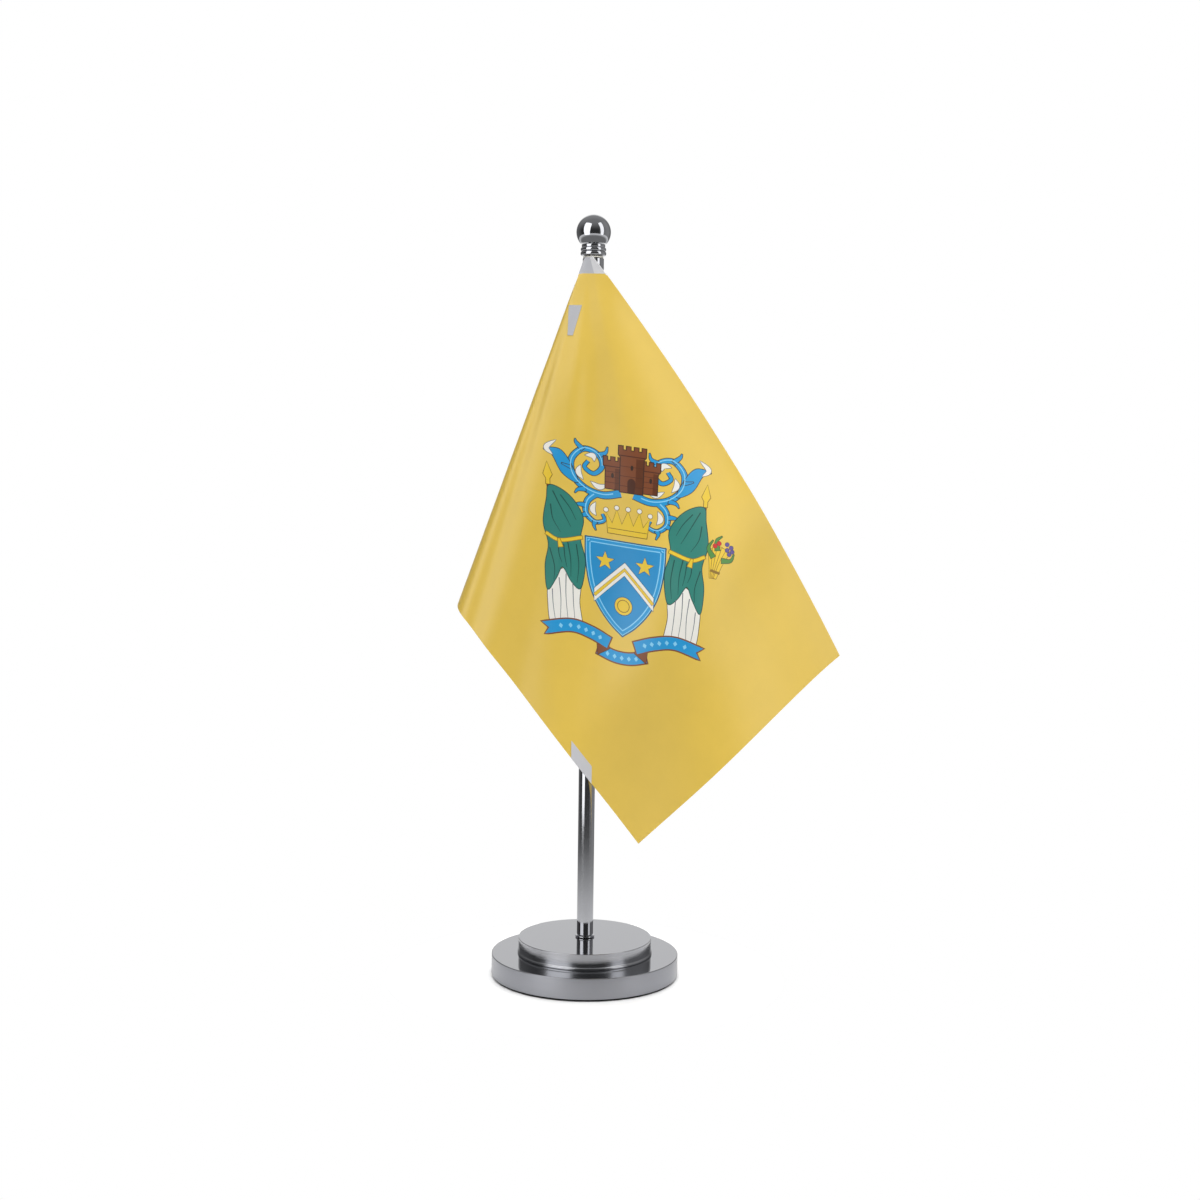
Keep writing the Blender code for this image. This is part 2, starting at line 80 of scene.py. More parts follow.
def rounded(piece, width, segments=3, angle=30):
    """Rounds a piece's sharp edges and shades it smooth, with its flat faces kept flat."""
    bevel = piece.modifiers.new("edges", "BEVEL")
    bevel.width = width
    bevel.segments = segments
    bevel.limit_method = "ANGLE"
    bevel.angle_limit = radians(angle)
    bevel.harden_normals = True
    select_only(piece)
    bpy.ops.object.shade_smooth()
    bpy.ops.object.modifier_apply(modifier=bevel.name)
    return piece


def linear(hex_colour):
    """A hex colour as screens show it, turned to the linear values that shaders take."""
    parts = [int(hex_colour[i:i + 2], 16) / 255 for i in (1, 3, 5)]
    return tuple(c / 12.92 if c <= 0.04045 else ((c + 0.055) / 1.055) ** 2.4 for c in parts)


def add_node(tree, kind, inputs=None, **settings):
    """Adds a shader node, with its settings, and its sockets set to values or linked to other sockets."""
    made = tree.nodes.new("ShaderNode" + kind)
    for name, value in settings.items():
        setattr(made, name, value)
    for name, value in (inputs or {}).items():
        if isinstance(value, bpy.types.NodeSocket):
            tree.links.new(value, made.inputs[name])
        else:
            made.inputs[name].default_value = value
    return made


def new_finish(name, colour, metallic, roughness, **sockets):
    """A new material: its node tree and its shader, with the values that are the same all over."""
    material = bpy.data.materials.new(name)
    material.use_nodes = True
    tree = material.node_tree
    shader = tree.nodes["Principled BSDF"]
    values = {"Base Color": (*linear(colour), 1), "Metallic": metallic, "Roughness": roughness}
    values.update({key.replace("_", " "): value for key, value in sockets.items()})
    for key, value in values.items():
        shader.inputs[key].default_value = value
    return material, tree, shader


def dress(piece, *materials):
    piece.data.materials.clear()
    for material in materials:
        piece.data.materials.append(material)


# Sponge rubber: dull black, with the fine open cells of foam that show as tiny pits.
RUBBER, tree, shader = new_finish("sponge_rubber", "#141414", 0.0, 0.85, IOR=1.5)
place = add_node(tree, "TexCoord").outputs["Object"]
cells = add_node(tree, "TexVoronoi", {"Vector": place, "Scale": 2200.0})
pits = add_node(tree, "Bump", {"Height": cells.outputs["Distance"], "Strength": 0.35, "Distance": 0.1 * MM})
tree.links.new(pits.outputs["Normal"], shader.inputs["Normal"])

low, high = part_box("foot_pad")
pad = turned("foot_pad_sponge", [(0, low.z), (high.x, low.z), (high.x, high.z), (0, high.z)])
rounded(pad, 0.15 * MM)
dress(pad, RUBBER)
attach(pad, "base")
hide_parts("foot_pad")


# ---- base discs -------------------------------------------------------------
# Two stacked caps of stainless steel, spun from sheet over their cast ballast. The lathe leaves fine
# rings on them. The tops are polished bright, and the lower cap's side is left satin. That side's steel
# is also coloured darker than the tops' steel: painted shade, for the dimmer surroundings it reflects.
RING_PITCH = 0.25 * MM      # real turning marks are near 0.08 mm, too fine to show, so drawn coarser


def turned_steel(name, colour, roughness, spread, depth):
    """Stainless steel with turning rings: each ring is a little rougher or smoother than the next."""
    material, tree, shader = new_finish(name, colour, 1.0, roughness)
    place = add_node(tree, "TexCoord").outputs["Object"]
    axes = add_node(tree, "SeparateXYZ", {"Vector": place})
    flat = add_node(tree, "CombineXYZ", {"X": axes.outputs["X"], "Y": axes.outputs["Y"]})
    radius = add_node(tree, "VectorMath", {0: flat.outputs[0]}, operation="LENGTH")
    along = add_node(tree, "Math", {0: radius.outputs["Value"], 1: axes.outputs["Z"]}, operation="ADD")
    rings = add_node(tree, "TexNoise", {"W": along.outputs[0], "Scale": 1 / RING_PITCH, "Detail": 2.0},
                     noise_dimensions="1D")
    cloud = add_node(tree, "TexNoise", {"Vector": place, "Scale": 90.0, "Detail": 3.0})
    both = add_node(tree, "Math", {0: rings.outputs["Fac"], 1: cloud.outputs["Fac"]}, operation="ADD")
    rough = add_node(tree, "MapRange", {"Value": both.outputs[0], "From Min": 0.6, "From Max": 1.4,
                                        "To Min": roughness - spread, "To Max": roughness + spread})
    tree.links.new(rough.outputs["Result"], shader.inputs["Roughness"])
    bump = add_node(tree, "Bump", {"Height": rings.outputs["Fac"], "Strength": depth, "Distance": 0.004 * MM})
    tree.links.new(bump.outputs["Normal"], shader.inputs["Normal"])
    return material


BRIGHT_STEEL = turned_steel("stainless_steel_polished_on_the_lathe", "#A9AAAE", 0.09, 0.03, 0.25)
# painted shade: the same stainless steel given a darker colour, so the lower cap's side reflects darker
SATIN_STEEL_PAINTED_DARKER = turned_steel("stainless_steel_satin_turned_painted_darker", "#8D8E93", 0.34, 0.05, 0.5)
UPPER_SIDE_STEEL = turned_steel("stainless_steel_bright_turned_side", "#A9AAAE", 0.23, 0.04, 0.35)
BORE = 2.3 * MM      # hole for the M4 screw
BEAD_UP, BEAD_OUT = 0.55 * MM, 0.35 * MM


def spun_cap(name, node, wall, side, foot=0.0):
    """A cap open below, with its top polished and its side in a finish of its own."""
    low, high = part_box(node)
    radius = high.x
    outline = [(BORE, high.z), (radius, high.z)]
    if foot:
        bead = low.z + BEAD_UP
        outline += [(radius, bead + BEAD_OUT), (radius + BEAD_OUT, bead), (radius + BEAD_OUT, low.z - foot)]
    else:
        outline += [(radius, low.z)]
    outline += [(radius - wall, low.z - foot), (radius - wall, high.z - wall), (BORE, high.z - wall),
                (BORE, high.z)]
    cap = rounded(turned(name, outline, 192), 0.2 * MM if foot else 0.3 * MM, 4)
    dress(cap, BRIGHT_STEEL, side)
    for face in cap.data.polygons:
        face.material_index = 0 if face.normal.z > 0.9 else 1
    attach(cap, "base")
    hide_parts(node)
    return cap


lower_cap = spun_cap("base_lower_cap", "base_lower_cover", 1.0 * MM, SATIN_STEEL_PAINTED_DARKER)
upper_cap = spun_cap("base_upper_cap", "base_upper_cover", 0.8 * MM, UPPER_SIDE_STEEL, 0.25 * MM)


# ---- inside the base --------------------------------------------------------
# Ballast of grey cast iron in both caps. A zinc-plated hexagon screw from below, its washer and a
# locknut clamp them together. The finial's stud is the same zinc-plated steel.
CAST_IRON, tree, shader = new_finish("sand_cast_iron", "#3A3B3D", 0.85, 0.62)
place = add_node(tree, "TexCoord").outputs["Object"]
sand = add_node(tree, "TexNoise", {"Vector": place, "Scale": 1800.0, "Detail": 4.0})
grain = add_node(tree, "Bump", {"Height": sand.outputs["Fac"], "Strength": 0.6, "Distance": 0.15 * MM})
tree.links.new(grain.outputs["Normal"], shader.inputs["Normal"])
tint = add_node(tree, "Mix", {"Factor": sand.outputs["Fac"], 6: (*linear("#2F3032"), 1),
                              7: (*linear("#4A4A4B"), 1)}, data_type="RGBA")
tree.links.new(tint.outputs[2], shader.inputs["Base Color"])
for node in ("base_lower_ballast", "base_upper_ballast"):
    dress(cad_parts[node], CAST_IRON)

ZINC, tree, shader = new_finish("zinc_plated_steel", "#B7BABC", 1.0, 0.32)
place = add_node(tree, "TexCoord").outputs["Object"]
spangle = add_node(tree, "TexVoronoi", {"Vector": place, "Scale": 900.0})
uneven = add_node(tree, "MapRange", {"Value": spangle.outputs["Distance"], "To Min": 0.24, "To Max": 0.42})
tree.links.new(uneven.outputs["Result"], shader.inputs["Roughness"])
for node in ("base_screw", "base_screw_washer", "base_locknut", "finial_stud"):
    dress(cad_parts[node], ZINC)


# ---- pole -------------------------------------------------------------------
# A solid rod of stainless steel, ground and polished along its length, tapped at both ends. A thin
# polished washer stands proud under its foot.
POLISHED_STEEL, tree, shader = new_finish("stainless_steel_polished_rod", "#BDBEC2", 1.0, 0.07,
                                          Anisotropic=0.7, Anisotropic_Rotation=0.25)
place = add_node(tree, "TexCoord").outputs["Object"]
drawn = add_node(tree, "Mapping", {"Vector": place, "Scale": (5000.0, 5000.0, 60.0)})
scratches = add_node(tree, "TexNoise", {"Vector": drawn.outputs[0], "Scale": 1.0, "Detail": 2.0})
cloud = add_node(tree, "TexNoise", {"Vector": place, "Scale": 120.0, "Detail": 2.0})
both = add_node(tree, "Math", {0: scratches.outputs["Fac"], 1: cloud.outputs["Fac"]}, operation="ADD")
rough = add_node(tree, "MapRange", {"Value": both.outputs[0], "From Min": 0.6, "From Max": 1.4,
                                    "To Min": 0.05, "To Max": 0.08})
tree.links.new(rough.outputs["Result"], shader.inputs["Roughness"])
round_the_pole = add_node(tree, "Tangent", direction_type="RADIAL", axis="Z")
tree.links.new(round_the_pole.outputs["Tangent"], shader.inputs["Tangent"])
lines = add_node(tree, "Bump", {"Height": scratches.outputs["Fac"], "Strength": 0.12, "Distance": 0.003 * MM})
tree.links.new(lines.outputs["Normal"], shader.inputs["Normal"])

low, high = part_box("pole_foot_washer")
foot_washer = turned("pole_foot_ring", [(BORE, low.z), (high.x, low.z), (high.x, high.z), (BORE, high.z),
                                        (BORE, low.z)], 96)
rounded(foot_washer, 0.12 * MM)
dress(foot_washer, POLISHED_STEEL)
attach(foot_washer, "pole_seat")
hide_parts("pole_foot_washer")

low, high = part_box("pole_rod")
POLE_RADIUS = high.x
TAP_DEPTH = 8.7 * MM
rod = turned("pole", [(0, low.z + TAP_DEPTH), (BORE, low.z + TAP_DEPTH), (BORE, low.z), (POLE_RADIUS, low.z),
                      (POLE_RADIUS, high.z), (BORE, high.z), (BORE, high.z - TAP_DEPTH),
                      (0, high.z - TAP_DEPTH)], 96)
rounded(rod, 0.2 * MM)
dress(rod, POLISHED_STEEL)
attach(rod, "pole")
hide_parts("pole_rod")


# ---- finial -----------------------------------------------------------------
# A ferrule pressed on the pole's end, three rings turned in one piece with sharp grooves between them,
# and a chromed ball, all screwed on with a stud over a white nylon washer.
low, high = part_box("finial_ferrule")
FERRULE_RADIUS = high.x
inside = POLE_RADIUS + 0.3 * MM
ferrule = turned("finial_tube", [(inside, low.z), (FERRULE_RADIUS, low.z), (FERRULE_RADIUS, high.z),
                                 (inside, high.z), (inside, low.z)], 96)
rounded(ferrule, 0.12 * MM)

low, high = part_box("finial_collar")
COLLAR_FLOOR = low.z
RING_RIMS = (0.95 * MM, 0.9 * MM, 0.5 * MM)
RING_SHARES = (1.8, 1.6, 1.4)
GROOVE = FERRULE_RADIUS + 0.15 * MM
outline = [(BORE, low.z)]
floor = low.z
for rim, share in zip(RING_RIMS, RING_SHARES):
    tall = (high.z - low.z) * share / sum(RING_SHARES)
    for turn in np.linspace(0, pi, 13):
        bulge = (FERRULE_RADIUS + rim - GROOVE) * max(sin(turn), 0) ** 0.5
        outline.append((GROOVE + bulge, floor + tall * (1 - cos(turn)) / 2))
    floor += tall
outline += [(BORE, high.z), (BORE, low.z)]
collar = turned("finial_rings", outline, 96)
bpy.ops.object.shade_smooth_by_angle(angle=radians(40))

low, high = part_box("finial_ball")
BALL_RADIUS = high.x
centre = high.z - BALL_RADIUS
neck = -atan2(centre - low.z, (BALL_RADIUS ** 2 - (centre - low.z) ** 2) ** 0.5)
outline = [(0, low.z)]
outline += [(BALL_RADIUS * cos(turn), centre + BALL_RADIUS * sin(turn))
            for turn in np.linspace(neck, pi / 2, 49)]
ball = turned("finial_knob", outline, 96)
bpy.ops.object.shade_smooth_by_angle(angle=radians(40))

for piece, node, body in ((ferrule, "finial_ferrule", "pole"), (collar, "finial_collar", "finial"),
                          (ball, "finial_ball", "finial")):
    dress(piece, POLISHED_STEEL)
    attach(piece, body)
    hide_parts(node)

NYLON, tree, shader = new_finish("natural_nylon", "#E9E6DA", 0.0, 0.42, IOR=1.53)
place = add_node(tree, "TexCoord").outputs["Object"]
flow = add_node(tree, "TexNoise", {"Vector": place, "Scale": 700.0, "Detail": 2.0})
skin = add_node(tree, "Bump", {"Height": flow.outputs["Fac"], "Strength": 0.2, "Distance": 0.05 * MM})
tree.links.new(skin.outputs["Normal"], shader.inputs["Normal"])
dress(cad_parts["finial_washer"], NYLON)


# ---- flag: how the cloth hangs ----------------------------------------------
# A printed satin flag, cut 210 x 140 mm. It hangs from its top hoist corner, close under the finial, and
# folds round at the left, so that its back layer returns to a sleeve on the pole. Lengths are in mm here.
FLAG_WIDTH, FLAG_DROP = 210.0, 140.0
APEX = Vector((-2.2, -FERRULE_RADIUS / MM - 0.85, COLLAR_FLOOR / MM + 2.4))
CORNER_CUT = 3.4
FLY_ANGLE, FLY_REACH = radians(33.2), FLAG_WIDTH * 0.9738
POINT_ANGLE, POINT_REACH = radians(5.6), hypot(FLAG_WIDTH, FLAG_DROP) * 0.9913
FOLD_ANGLE, FOLD_REACH = radians(-19.7), FLAG_DROP / sin(radians(61)) * 0.9946
FOLD_ROUND = radians(2.2)
FLAT_POINT = atan2(FLAG_DROP, FLAG_WIDTH)
FLAT_FOLD = radians(58.6)
FLAT_RETURN = FLAT_FOLD + pi * FOLD_ROUND
FOLD_START = FOLD_ANGLE + FOLD_ROUND
SLEEVE_LOW, SLEEVE_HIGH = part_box("flag_sleeve")
HOIST_LEFT = SLEEVE_HIGH.x / MM + 0.6
HOIST_CUT = APEX.z - SLEEVE_HIGH.z / MM
FLY_BOW, FLY_SAG = 18.4, 8.8
DOWN_SWELL, DOWN_WIDTH = 2.9, 9.5
BROAD_SWELL, BROAD_WIDTH = 3.2, 18
WAVES = ((-4.5, 4.0, -1.0), (13.5, 8.0, -1.9))


def ease(value):
    value = min(max(value, 0.0), 1.0)
    return value * value * (3 - 2 * value)


def depth_angle(angle):
    """How far a fold of the front layer leans back, as an angle at the top corner."""
    degree = angle * 180 / pi
    lean = sum(size * np.exp(-((degree - place) / width) ** 2) for place, width, size in WAVES)
    return radians(lean + 9.5 / (1 + np.exp((28.0 - degree) / 4.0)))


def ripple(x, z):
    """Two soft swells of the front layer towards the viewer: one runs down and left, one lies lower right."""
    fall = APEX.z - 12 - z
    crest = -2.0 - 0.19 * fall - 0.0004 * fall * fall
    swell = DOWN_SWELL * np.exp(-((x - crest) / DOWN_WIDTH) ** 2)
    slant = (x - 20) * 0.82 - (z - 128) * 0.57
    broad = BROAD_SWELL * np.exp(-(slant / BROAD_WIDTH) ** 2)
    return -(swell + broad) * ease((APEX.z - z - 8) / 55)


def seam(start, end, angle):
    """Distance from the top corner, at an angle, to the straight edge between two corners."""
    x0, z0 = start[1] * sin(start[0]), start[1] * cos(start[0])
    x1, z1 = end[1] * sin(end[0]), end[1] * cos(end[0])
    return (x0 * z1 - x1 * z0) / (sin(angle) * (z1 - z0) - cos(angle) * (x1 - x0))


def flag_ray(flat):
    """Angle, lean, reach, start and offset of the line at a flat angle, from the fly edge to the hoist."""
    fly, point, fold = (FLY_ANGLE, FLY_REACH), (POINT_ANGLE, POINT_REACH), (FOLD_ANGLE, FOLD_REACH)
    if flat <= FLAT_POINT:
        share = flat / FLAT_POINT
        angle = FLY_ANGLE + (POINT_ANGLE - FLY_ANGLE) * share
        reach = seam(fly, point, angle) - FLY_SAG * share * (1 - share)
        return angle, depth_angle(angle), reach, CORNER_CUT, 0.0
    if flat <= FLAT_FOLD:
        share = (flat - FLAT_POINT) / (FLAT_FOLD - FLAT_POINT)
        angle = POINT_ANGLE + (FOLD_START - POINT_ANGLE) * share
        return angle, depth_angle(angle), seam(point, fold, angle), CORNER_CUT, 0.0
    start_reach = seam(point, fold, FOLD_START)
    start_flat = FLAG_DROP / sin(FLAT_FOLD)
    share = (flat - FLAT_FOLD) / (pi / 2 - FLAT_FOLD)
    cut = CORNER_CUT + (HOIST_CUT - CORNER_CUT) * ease(2 * share)
    reach = start_reach + FLAG_DROP / sin(flat) - start_flat
    reach += (start_flat - start_reach - 0.6) * share
    lean = depth_angle(FOLD_START)
    if flat <= FLAT_RETURN:
        turn = pi * (flat - FLAT_FOLD) / (FLAT_RETURN - FLAT_FOLD)
        return FOLD_START - FOLD_ROUND * sin(turn), lean + FOLD_ROUND * (1 - cos(turn)), reach, cut, share
    back = min((flat - FLAT_RETURN) / (pi / 2 - FLAT_RETURN), 1.0)
    lean = (lean + 2 * FOLD_ROUND) * (1 - ease(back)) + radians(5) * max(sin(pi * back), 0.0) ** 1.5
    return FOLD_START * (1 - back), lean, reach, cut, share


def flat_reach(flat):
    """Length of the same line on the flat cloth."""
    return min(FLAG_WIDTH / max(cos(flat), 1e-9), FLAG_DROP / max(sin(flat), 1e-9))


def bow_at(flat, along):
    """How far the line near the fly's top edge bows outwards."""
    return FLY_BOW * along * (1 - along) * ease(1 - flat / radians(26))


def hung(across, down):
    """Where a point of the flat cloth hangs. It is measured from the top hoist corner."""
    flat = atan2(down, across)
    angle, lean, reach, cut, share = flag_ray(flat)
    along = (hypot(across, down) - cut) / (flat_reach(flat) - cut)
    distance = cut + (reach - cut) * along
    bow = bow_at(flat, along)
    slip = ease(share)
    x = distance * sin(angle) + bow * cos(angle) + slip * (-APEX.x - HOIST_LEFT)
    y = distance * tan(lean) * ease(distance / 35) + slip * (1.0 - APEX.y)
    spot = APEX + Vector((x, y, -distance * cos(angle) + bow * sin(angle)))
    if flat < FLAT_FOLD:
        spot.y += ripple(spot.x, spot.z) * ease((angle - FOLD_START) / radians(3))
    return spot


def flattened(x, z):
    """The point of the flat cloth that hangs at a place of the front layer, seen from the front."""
    bow, angle = 0.0, 0.0
    for _ in range(12):
        side, fall = x - APEX.x - bow * cos(angle), APEX.z - z + bow * sin(angle)
        angle = atan2(side, fall)
        if angle > POINT_ANGLE:
            flat = FLAT_POINT * (FLY_ANGLE - angle) / (FLY_ANGLE - POINT_ANGLE)
        else:
            flat = FLAT_POINT + (FLAT_FOLD - FLAT_POINT) * (POINT_ANGLE - angle) / (POINT_ANGLE - FOLD_START)
        _, _, reach, cut, _ = flag_ray(flat)
        along = (hypot(side, fall) - cut) / (reach - cut)
        bow = bow_at(flat, along)
    length = cut + along * (flat_reach(flat) - cut)
    return length * cos(flat), length * sin(flat)


# ---- flag: its print --------------------------------------------------------
# The emblem is printed in solid inks: a blue shield between two furled banners, a coronet and a castle
# over it, scrolled leaves and a plain ribbon. It is drawn in mm from the shield's middle, across and up.
GOLD = "#E2C051"
BLUE, FIELD_BLUE, DEEP_BLUE, LIGHT_BLUE = "#1E96D2", "#1A8DC8", "#15567F", "#86CDEE"
INK, BROWN, SHADED_BROWN, DARK_BROWN = "#33241C", "#7C4526", "#5F3219", "#4A2818"
RED, DARK_RED, TEAL, DARK_TEAL = "#C9201F", "#7A1416", "#2E7F73", "#174A43"
BRIGHT_GOLD, DEEP_GOLD = "#E8C533", "#8C6A14"
WHITE, DARK_GREY, GREEN, PURPLE = "#ECEAE2", "#666C76", "#4E8A3C", "#5A4A92"
SATIN_GREY, PATCH_GREY, PAINTED_HIGHLIGHT_GREY, PAINTED_EDGE_HIGHLIGHT = "#B4B5BA", "#C8C8CC", "#D0D0D2", "#F0F0F1"
EMBLEM_ACROSS, EMBLEM_HEIGHT = 14.6, 168.2
EMBLEM_TURN, EMBLEM_LEAN, EMBLEM_SPREAD = radians(8.5), radians(1.1), 0.0019
layers = []


def curve_through(points, closed=False, steps=6):
    """A smooth line that passes through a few points."""
    spots = [Vector(point) for point in points]
    if closed:
        spots = spots[-1:] + spots + spots[:2]
    else:
        spots = [2 * spots[0] - spots[1]] + spots + [2 * spots[-1] - spots[-2]]
    line = []
    for a, b, c, d in zip(spots, spots[1:], spots[2:], spots[3:]):
        for step in range(steps):
            t = step / steps
            line.append(0.5 * (2 * b + (c - a) * t + (2 * a - 5 * b + 4 * c - d) * t ** 2
                               + (3 * b - 3 * c + d - a) * t ** 3))
    return line if closed else line + [spots[-2]]


def leaf(line, width):
    """The outline of a stroke along a line, pointed at both ends and widest in its middle."""
    line = [Vector(point) for point in line]
    left, right = [line[0]], []
    for i in range(1, len(line) - 1):
        side = (line[i + 1] - line[i - 1]).orthogonal().normalized()
        side = side * width * sin(pi * i / (len(line) - 1)) / 2
        left.append(line[i] + side)
        right.append(line[i] - side)
    return left + [line[-1]] + right[::-1]


def brush(line, width, tip=None):
    """The outline of a brush stroke along a line, from its width at the start to that at its tip."""
    line = [Vector(point) for point in line]
    tip = width if tip is None else tip
    left, right = [], []
    for i, spot in enumerate(line):
        run = line[min(i + 1, len(line) - 1)] - line[max(i - 1, 0)]
        side = run.orthogonal().normalized() * (width + (tip - width) * i / (len(line) - 1)) / 2
        left.append(spot + side)
        right.append(spot - side)
    return left + right[::-1]


def oval(middle, wide, tall, start=0, end=360, steps=24):
    turns = [radians(start + (end - start) * i / steps) for i in range(steps + (end - start < 360))]
    return [Vector((middle[0] + wide * cos(turn), middle[1] + tall * sin(turn))) for turn in turns]


def grown(outline, rim):
    """The same closed outline, larger by a rim all round."""
    turning = sum(a.x * b.y - b.x * a.y for a, b in zip(outline, outline[1:] + outline[:1]))
    larger = []
    for before, spot, after in zip(outline[-1:] + outline[:-1], outline, outline[1:] + outline[:1]):
        one, two = (spot - before).normalized(), (after - spot).normalized()
        outward = Vector((one.y + two.y, -one.x - two.x)) / (1 + max(one.dot(two), -0.5))
        larger.append(spot + outward * (rim if turning > 0 else -rim))
    return larger


def emblem_place(spot):
    """From the emblem's own measures to where the place hangs, seen from the front."""
    across, up = spot
    x = EMBLEM_ACROSS + across * cos(EMBLEM_TURN) + up * sin(EMBLEM_LEAN) + EMBLEM_SPREAD * across * up
    return x, EMBLEM_HEIGHT - across * sin(EMBLEM_TURN) + up * cos(EMBLEM_LEAN)


def lay(colour, outline, place=emblem_place):
    """Adds one ink shape, as the outline that it has on the flat cloth."""
    fine = []
    for start, end in zip(outline, outline[1:] + outline[:1]):
        pieces = max(1, round((end - start).length / 2.5))
        fine += [start.lerp(end, i / pieces) for i in range(pieces)]
    layers.append((colour, np.array([flattened(*place(spot)) for spot in fine])))


def ink(colour, outline, line=INK, rim=0.28, sides=(1,)):
    """Prints a shape with a dark line round it, once or on both sides of the emblem."""
    for side in sides:
        shape = [Vector((point[0] * side, point[1])) for point in outline]
        if line:
            lay(line, grown(shape, rim))
        lay(colour, shape)


BOTH = (-1, 1)

# leaves: a stem that rolls into a spiral, a long leaf outside it and a short stem below
roll = curve_through([(2.5, 38.6), (9.5, 36.8), (16.5, 38.6), (21.4, 43.6), (21.8, 50.2), (17.2, 55.0),
                      (11.6, 53.4), (10.0, 48.6), (13.2, 45.2), (16.8, 47.4), (15.4, 50.2)], steps=7)
hook = curve_through([(11.5, 37.6), (15.6, 33.6), (16.2, 28.4), (12.6, 25.2), (8.8, 26.4), (9.6, 29.0)])
for colour, stems in ((INK, 0.6), (BLUE, 0.0)):
    ink(colour, brush(hook, 2.6 + stems, 0.9 + stems), None, sides=BOTH)
    ink(colour, brush(roll, 2.9 + stems, 1.2 + stems), None, sides=BOTH)
ink(BLUE, curve_through([(19.4, 40.6), (25.4, 43.6), (29.2, 50.6), (32.4, 52.6), (26.6, 53.4), (22.6, 48.8)],
                        True), sides=BOTH)
ink(WHITE, leaf(curve_through([(29.0, 50.6), (31.4, 53.4), (27.6, 57.0)]), 1.9), DARK_GREY, 0.25, BOTH)
for root, tip, bend in (((17.4, 54.6), (20.4, 58.6), 1.0), ((11.4, 53.2), (8.0, 57.0), -1.0),
                        ((21.9, 46.8), (25.6, 47.6), -0.8), ((16.4, 31.6), (20.4, 30.6), 1.0),
                        ((15.8, 28.0), (18.6, 25.0), 0.8), ((12.4, 25.4), (12.2, 21.8), 0.7),
                        ((16.4, 38.4), (20.6, 36.2), 0.8)):
    middle = ((root[0] + tip[0]) / 2 + bend, (root[1] + tip[1]) / 2 + bend / 2)
    ink(BLUE, brush(curve_through([root, middle, tip]), 2.0, 0.3), sides=BOTH)
for spots in (((13.0, 50.4), (13.6, 52.6), (16.6, 52.4)), ((18.4, 48.0), (19.2, 45.0), (17.4, 42.2)),
              ((12.4, 33.4), (13.6, 30.4), (12.2, 28.0)), ((7.6, 41.4), (11.0, 40.0), (14.4, 41.8))):
    ink(WHITE, leaf(curve_through(spots), 2.1), DARK_GREY, 0.25, BOTH)
for line in (roll[3:50], hook[2:24]):
    ink(LIGHT_BLUE, brush([spot + Vector((0.0, 0.35)) for spot in line], 0.5, 0.35), None, sides=BOTH)

# castle: two side towers and a taller keep, in brown stone
for middle, half, foot, top in ((-5.9, 2.7, 40.0, 50.2), (8.9, 2.7, 40.0, 50.2), (1.5, 4.4, 39.4, 55.4)):
    tower = [(middle - half, foot), (middle - half, top - 1.6), (middle - half - 0.8, top - 0.6)]
    notches = 3 if half < 4 else 4
    step = 2 * (half + 0.8) / (2 * notches - 1)
    for i in range(notches):
        left = middle - half - 0.8 + 2 * i * step
        tower += [(left, top + 3.0), (left + step, top + 3.0)]
        if i < notches - 1:
            tower += [(left + step, top + 1.4), (left + 2 * step, top + 1.4)]
    tower += [(middle + half + 0.8, top - 0.6), (middle + half, top - 1.6), (middle + half, foot)]
    ink(BROWN, tower, rim=0.35)
    shade = [(middle + half * 0.35, foot), (middle + half * 0.35, top - 1.6),
             (middle + half, top - 1.6), (middle + half, foot)]
    ink(SHADED_BROWN, shade, None)
    ink(DARK_BROWN, brush([(middle - half - 0.6, top - 0.9), (middle + half + 0.6, top - 0.9)], 0.45), None)
    for course in range(3):
        height = foot + 2.6 + course * (top - foot - 3) / 3.2
        ink(DARK_BROWN, brush([(middle - half, height), (middle + half, height)], 0.22), None)
gate = [Vector((0.1, 39.4))] + oval((1.5, 43.4), 1.6, 2.0, 180, 0, 10) + [Vector((2.9, 39.4))]
ink(DARK_BROWN, gate, None)
for window in ((1.5, 49.8), (-5.9, 45.6), (8.9, 45.6)):
    ink(INK, oval(window, 0.55, 1.1, steps=12), None)

# coronet: a plain gold band with five points, over the shield
coronet = [(-7.2, 21.6), (-8.2, 30.2), (-5.6, 25.6), (-3.9, 31.6), (-1.7, 25.6), (0.6, 31.6), (2.9, 25.6),
           (5.1, 31.6), (6.8, 25.6), (9.4, 30.2), (8.4, 21.6)]
ink(BRIGHT_GOLD, coronet, DEEP_GOLD, 0.35)
ink(DEEP_GOLD, brush([(-7.2, 23.6), (8.4, 23.6)], 0.3), None)
for tip in ((-8.2, 31.0), (-3.9, 32.4), (0.6, 32.4), (5.1, 32.4), (9.4, 31.0)):
    ink(WHITE, oval(tip, 0.9, 0.9, steps=12), DEEP_GOLD, 0.25)

# shield: a white chevron between two gold stars and a gold disc
half = [(0, 18.4), (8, 18.4), (15.4, 18.4), (16.2, 17.4), (16.0, 8.0), (14.2, -2.0), (10.4, -10.0),
        (5.2, -16.4), (0, -20.6)]
shield = curve_through(half, steps=5)
shield += [Vector((-spot.x, spot.y)) for spot in shield[-2:0:-1]]
for colour, rim in ((DEEP_BLUE, 0.55), (LIGHT_BLUE, 0.0), (BLUE, -0.35), (LIGHT_BLUE, -1.5),
                    (FIELD_BLUE, -1.95)):
    ink(colour, grown(shield, rim), None)
ink(WHITE, [(-12.6, -8.0), (0, 4.6), (12.6, -8.0), (12.6, -2.6), (0, 10.0), (-12.6, -2.6)], DEEP_BLUE, 0.25)
ink(BRIGHT_GOLD, brush([(-12.4, -5.3), (0, 7.1), (12.4, -5.3)], 1.1), DEEP_GOLD, 0.15)
STAR_SIZE, STAR_WAIST = 3.9, 0.42
